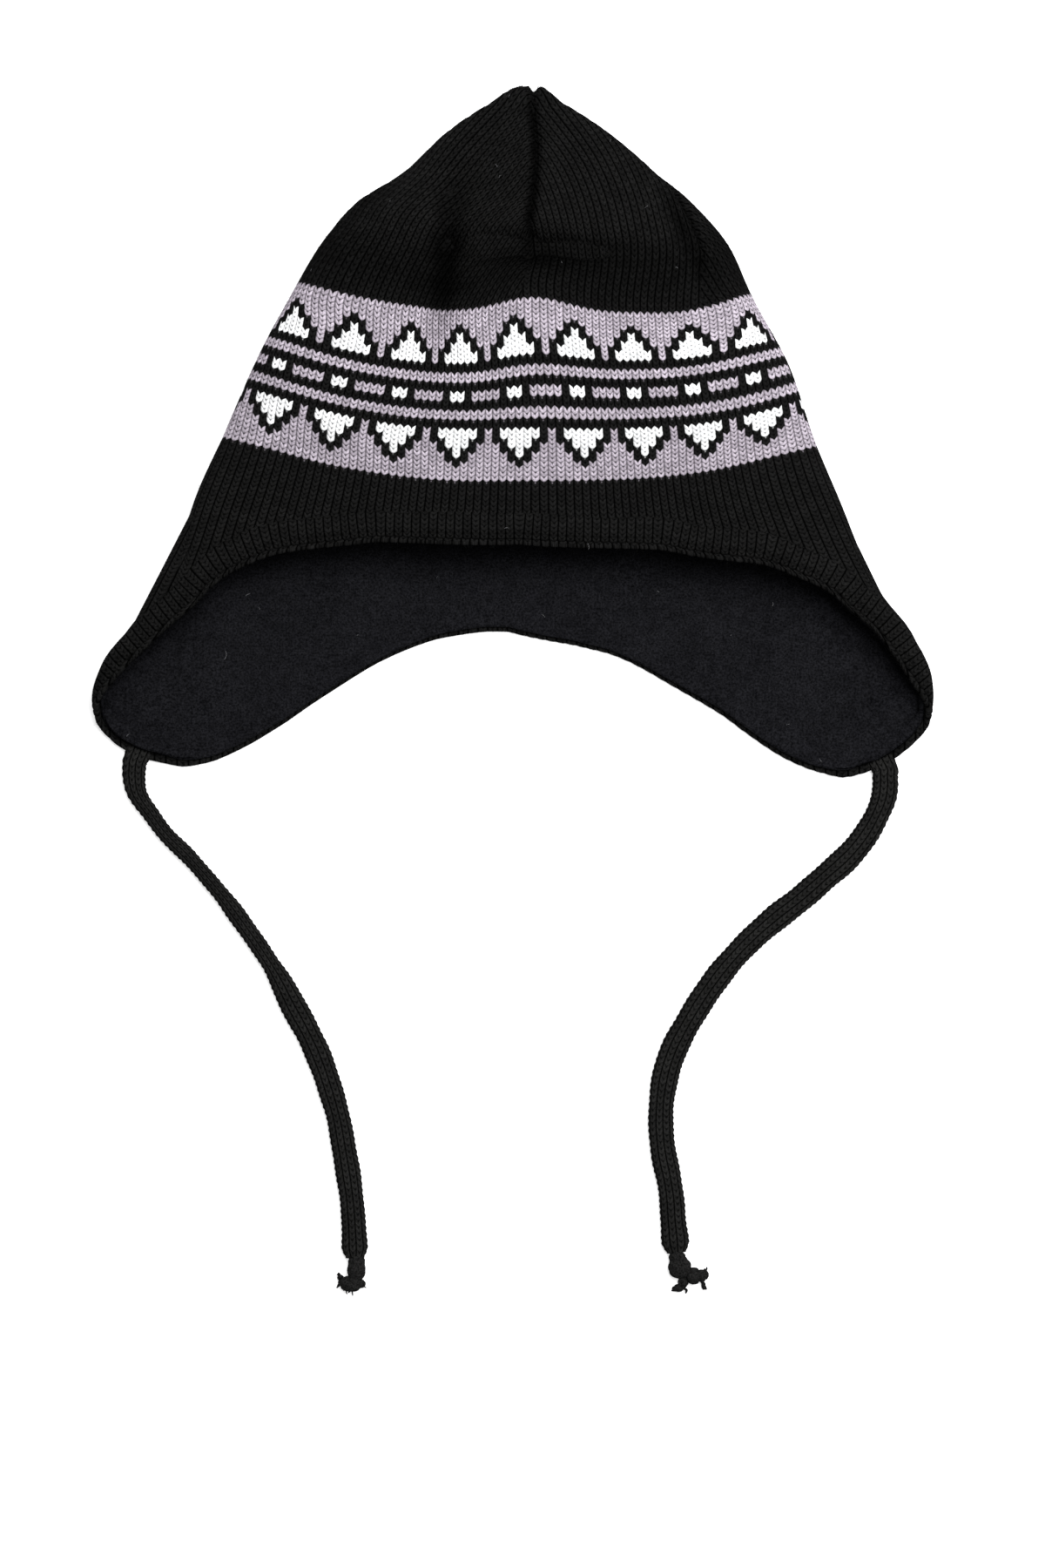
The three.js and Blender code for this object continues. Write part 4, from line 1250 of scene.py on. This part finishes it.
def fleece_material():
    n = Nodes("black fleece")
    place = n.node("ShaderNodeTexCoord").outputs["Object"]
    pile = n.noise(place, 1100.0, 4.0, 0.75)
    tufts = n.noise(place, 300.0, 3.0, 0.6)
    clouds = n.noise(place, 45.0, 2.0, 0.5)
    grain = n.math("MULTIPLY", n.step(pile, 0.34, 0.66, 0.35, 1.7), n.step(tufts, 0.3, 0.7, 0.8, 1.2))
    shade = n.math("MULTIPLY", grain, n.step(clouds, 0.3, 0.7, 0.92, 1.08))
    # painted shade: seams, dents and the shadow below the front rim darken the fleece's colour
    shade = n.math("MULTIPLY", shade, painted_shade(n))
    base = (0.0069, 0.0069, 0.0081, 1)
    n.put(n.shader.inputs["Base Color"], n.mix(1.0, base, n.combine(shade, shade, shade), "MULTIPLY"))
    n.shader.inputs["Roughness"].default_value = 1.0
    n.shader.inputs["Specular IOR Level"].default_value = 0.005
    soft = n.bump(tufts, 0.9 * MM, 0.5)
    n.put(n.shader.inputs["Normal"], n.bump(pile, 0.6 * MM, 0.9, soft))
    return n.material


def yarn_material():
    """Loose black yarn, twisted from plies."""
    n = Nodes("black yarn")
    place = n.node("ShaderNodeTexCoord").outputs["Object"]
    plies = n.noise(place, 1500.0, 3.0, 0.6)
    shade = n.step(plies, 0.32, 0.68, 0.3, 1.5)
    n.put(n.shader.inputs["Base Color"],
          n.mix(1.0, (0.011, 0.0109, 0.0107, 1), n.combine(shade, shade, shade), "MULTIPLY"))
    n.shader.inputs["Roughness"].default_value = 1.0
    n.shader.inputs["Specular IOR Level"].default_value = 0.005
    n.put(n.shader.inputs["Normal"], n.bump(plies, 0.4 * MM, 0.8))
    return n.material


def floor_material():
    n = Nodes("floor")
    n.shader.inputs["Base Color"].default_value = (0.85, 0.85, 0.85, 1)
    n.shader.inputs["Roughness"].default_value = 1.0
    n.shader.inputs["Specular IOR Level"].default_value = 0.0
    n.shader.inputs["Emission Color"].default_value = (1, 1, 1, 1)
    n.shader.inputs["Emission Strength"].default_value = 0.55
    return n.material


# The photograph's frame: its size in pixels, a pixel's size at the floor and the hat's middle
PHOTO_WIDTH = 1200
PHOTO_HEIGHT = 1800
PIXEL = 0.36 * MM
HAT_MIDDLE_PIXEL = (588.6, 496.2)
CAMERA_HEIGHT = 1.8
SENSOR_WIDTH = 36

# The studio: half the floor's side, the white light all round and the lamp
FLOOR_REACH = 30.0
ROUND_LIGHT = 0.4
LAMP_SIDE = 1.1
LAMP_POWER = 46
LAMP_PLACE = (0.5, 0.42, 1.55)


def build_camera():
    """A camera straight above, with the photograph's frame."""
    camera = link(bpy.data.objects.new("camera", bpy.data.cameras.new("camera")))
    camera.data.sensor_width = SENSOR_WIDTH
    camera.data.lens = SENSOR_WIDTH * CAMERA_HEIGHT / (PHOTO_HEIGHT * PIXEL)
    x = (PHOTO_WIDTH / 2 - HAT_MIDDLE_PIXEL[0]) * PIXEL
    y = (HAT_MIDDLE_PIXEL[1] - PHOTO_HEIGHT / 2) * PIXEL
    camera.location = (x, y, CAMERA_HEIGHT)
    bpy.context.scene.camera = camera


def build_floor():
    size = FLOOR_REACH
    corners = np.array([[-size, -size, 0], [size, -size, 0], [size, size, 0], [-size, size, 0]])
    floor = new_mesh("floor", corners, [(0, 1, 2, 3)])
    floor.data.materials.append(floor_material())
    floor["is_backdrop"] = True


def build_lights():
    """Even white light all round and one soft lamp at the upper right, aimed at the hat."""
    world = bpy.data.worlds.new("studio")
    world.use_nodes = True
    world.node_tree.nodes["Background"].inputs[0].default_value = (1, 1, 1, 1)
    world.node_tree.nodes["Background"].inputs[1].default_value = ROUND_LIGHT
    bpy.context.scene.world = world
    bpy.context.scene.view_settings.view_transform = "Standard"
    lamp = bpy.data.lights.new("softbox", "AREA")
    lamp.shape = "RECTANGLE"
    lamp.size, lamp.size_y = LAMP_SIDE, LAMP_SIDE
    lamp.energy = LAMP_POWER
    softbox = link(bpy.data.objects.new("softbox", lamp))
    softbox.location = LAMP_PLACE
    aim = -np.array(softbox.location)
    softbox.rotation_euler = (math.atan2(math.hypot(aim[0], aim[1]), -aim[2]), 0,
                              math.atan2(aim[0], -aim[1]) + math.pi)


def dress(piece, node, material):
    """Gives a piece its material and puts it in the place of a node of the solids."""
    piece.data.materials.append(material)
    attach(piece, "root")
    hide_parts(node)
    return piece


build_camera()
build_floor()
build_lights()
knit = knit_material("charted knit", True)
black_knit = knit_material("black knit", False)
loose_yarn = yarn_material()
shell = dress(build_knit_shell(), "knit_shell", knit)
hem = dress(build_hem_band(), "knit_shell", knit)
lining = dress(build_fleece_lining(), "fleece_lining", fleece_material())
lint = build_lint([shell, hem, lining])
lint.data.materials.append(lint_material())
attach(lint, "root")
shell_fuzz = build_fuzz("shell_fuzz", shell, 3000, 32)
shell_fuzz.data.materials.append(loose_yarn)
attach(shell_fuzz, "root")
for side, tie in TIES.items():
    cord, start, middle, length = build_tie(side, tie)
    dress(cord, f"tie_cord_{side}", black_knit)
    knot = dress(build_knot(side, middle[-1]), f"tie_end_{side}", loose_yarn)
    fuzz = build_fuzz(f"tie_fuzz_{side}", cord, 900, 31)
    fuzz.data.materials.append(loose_yarn)
    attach(fuzz, "root")

looks_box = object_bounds()
as_lists = lambda box: [[float(v) for v in corner] for corner in box]
{"cad": as_lists(cad_box), "looks": as_lists(looks_box)}
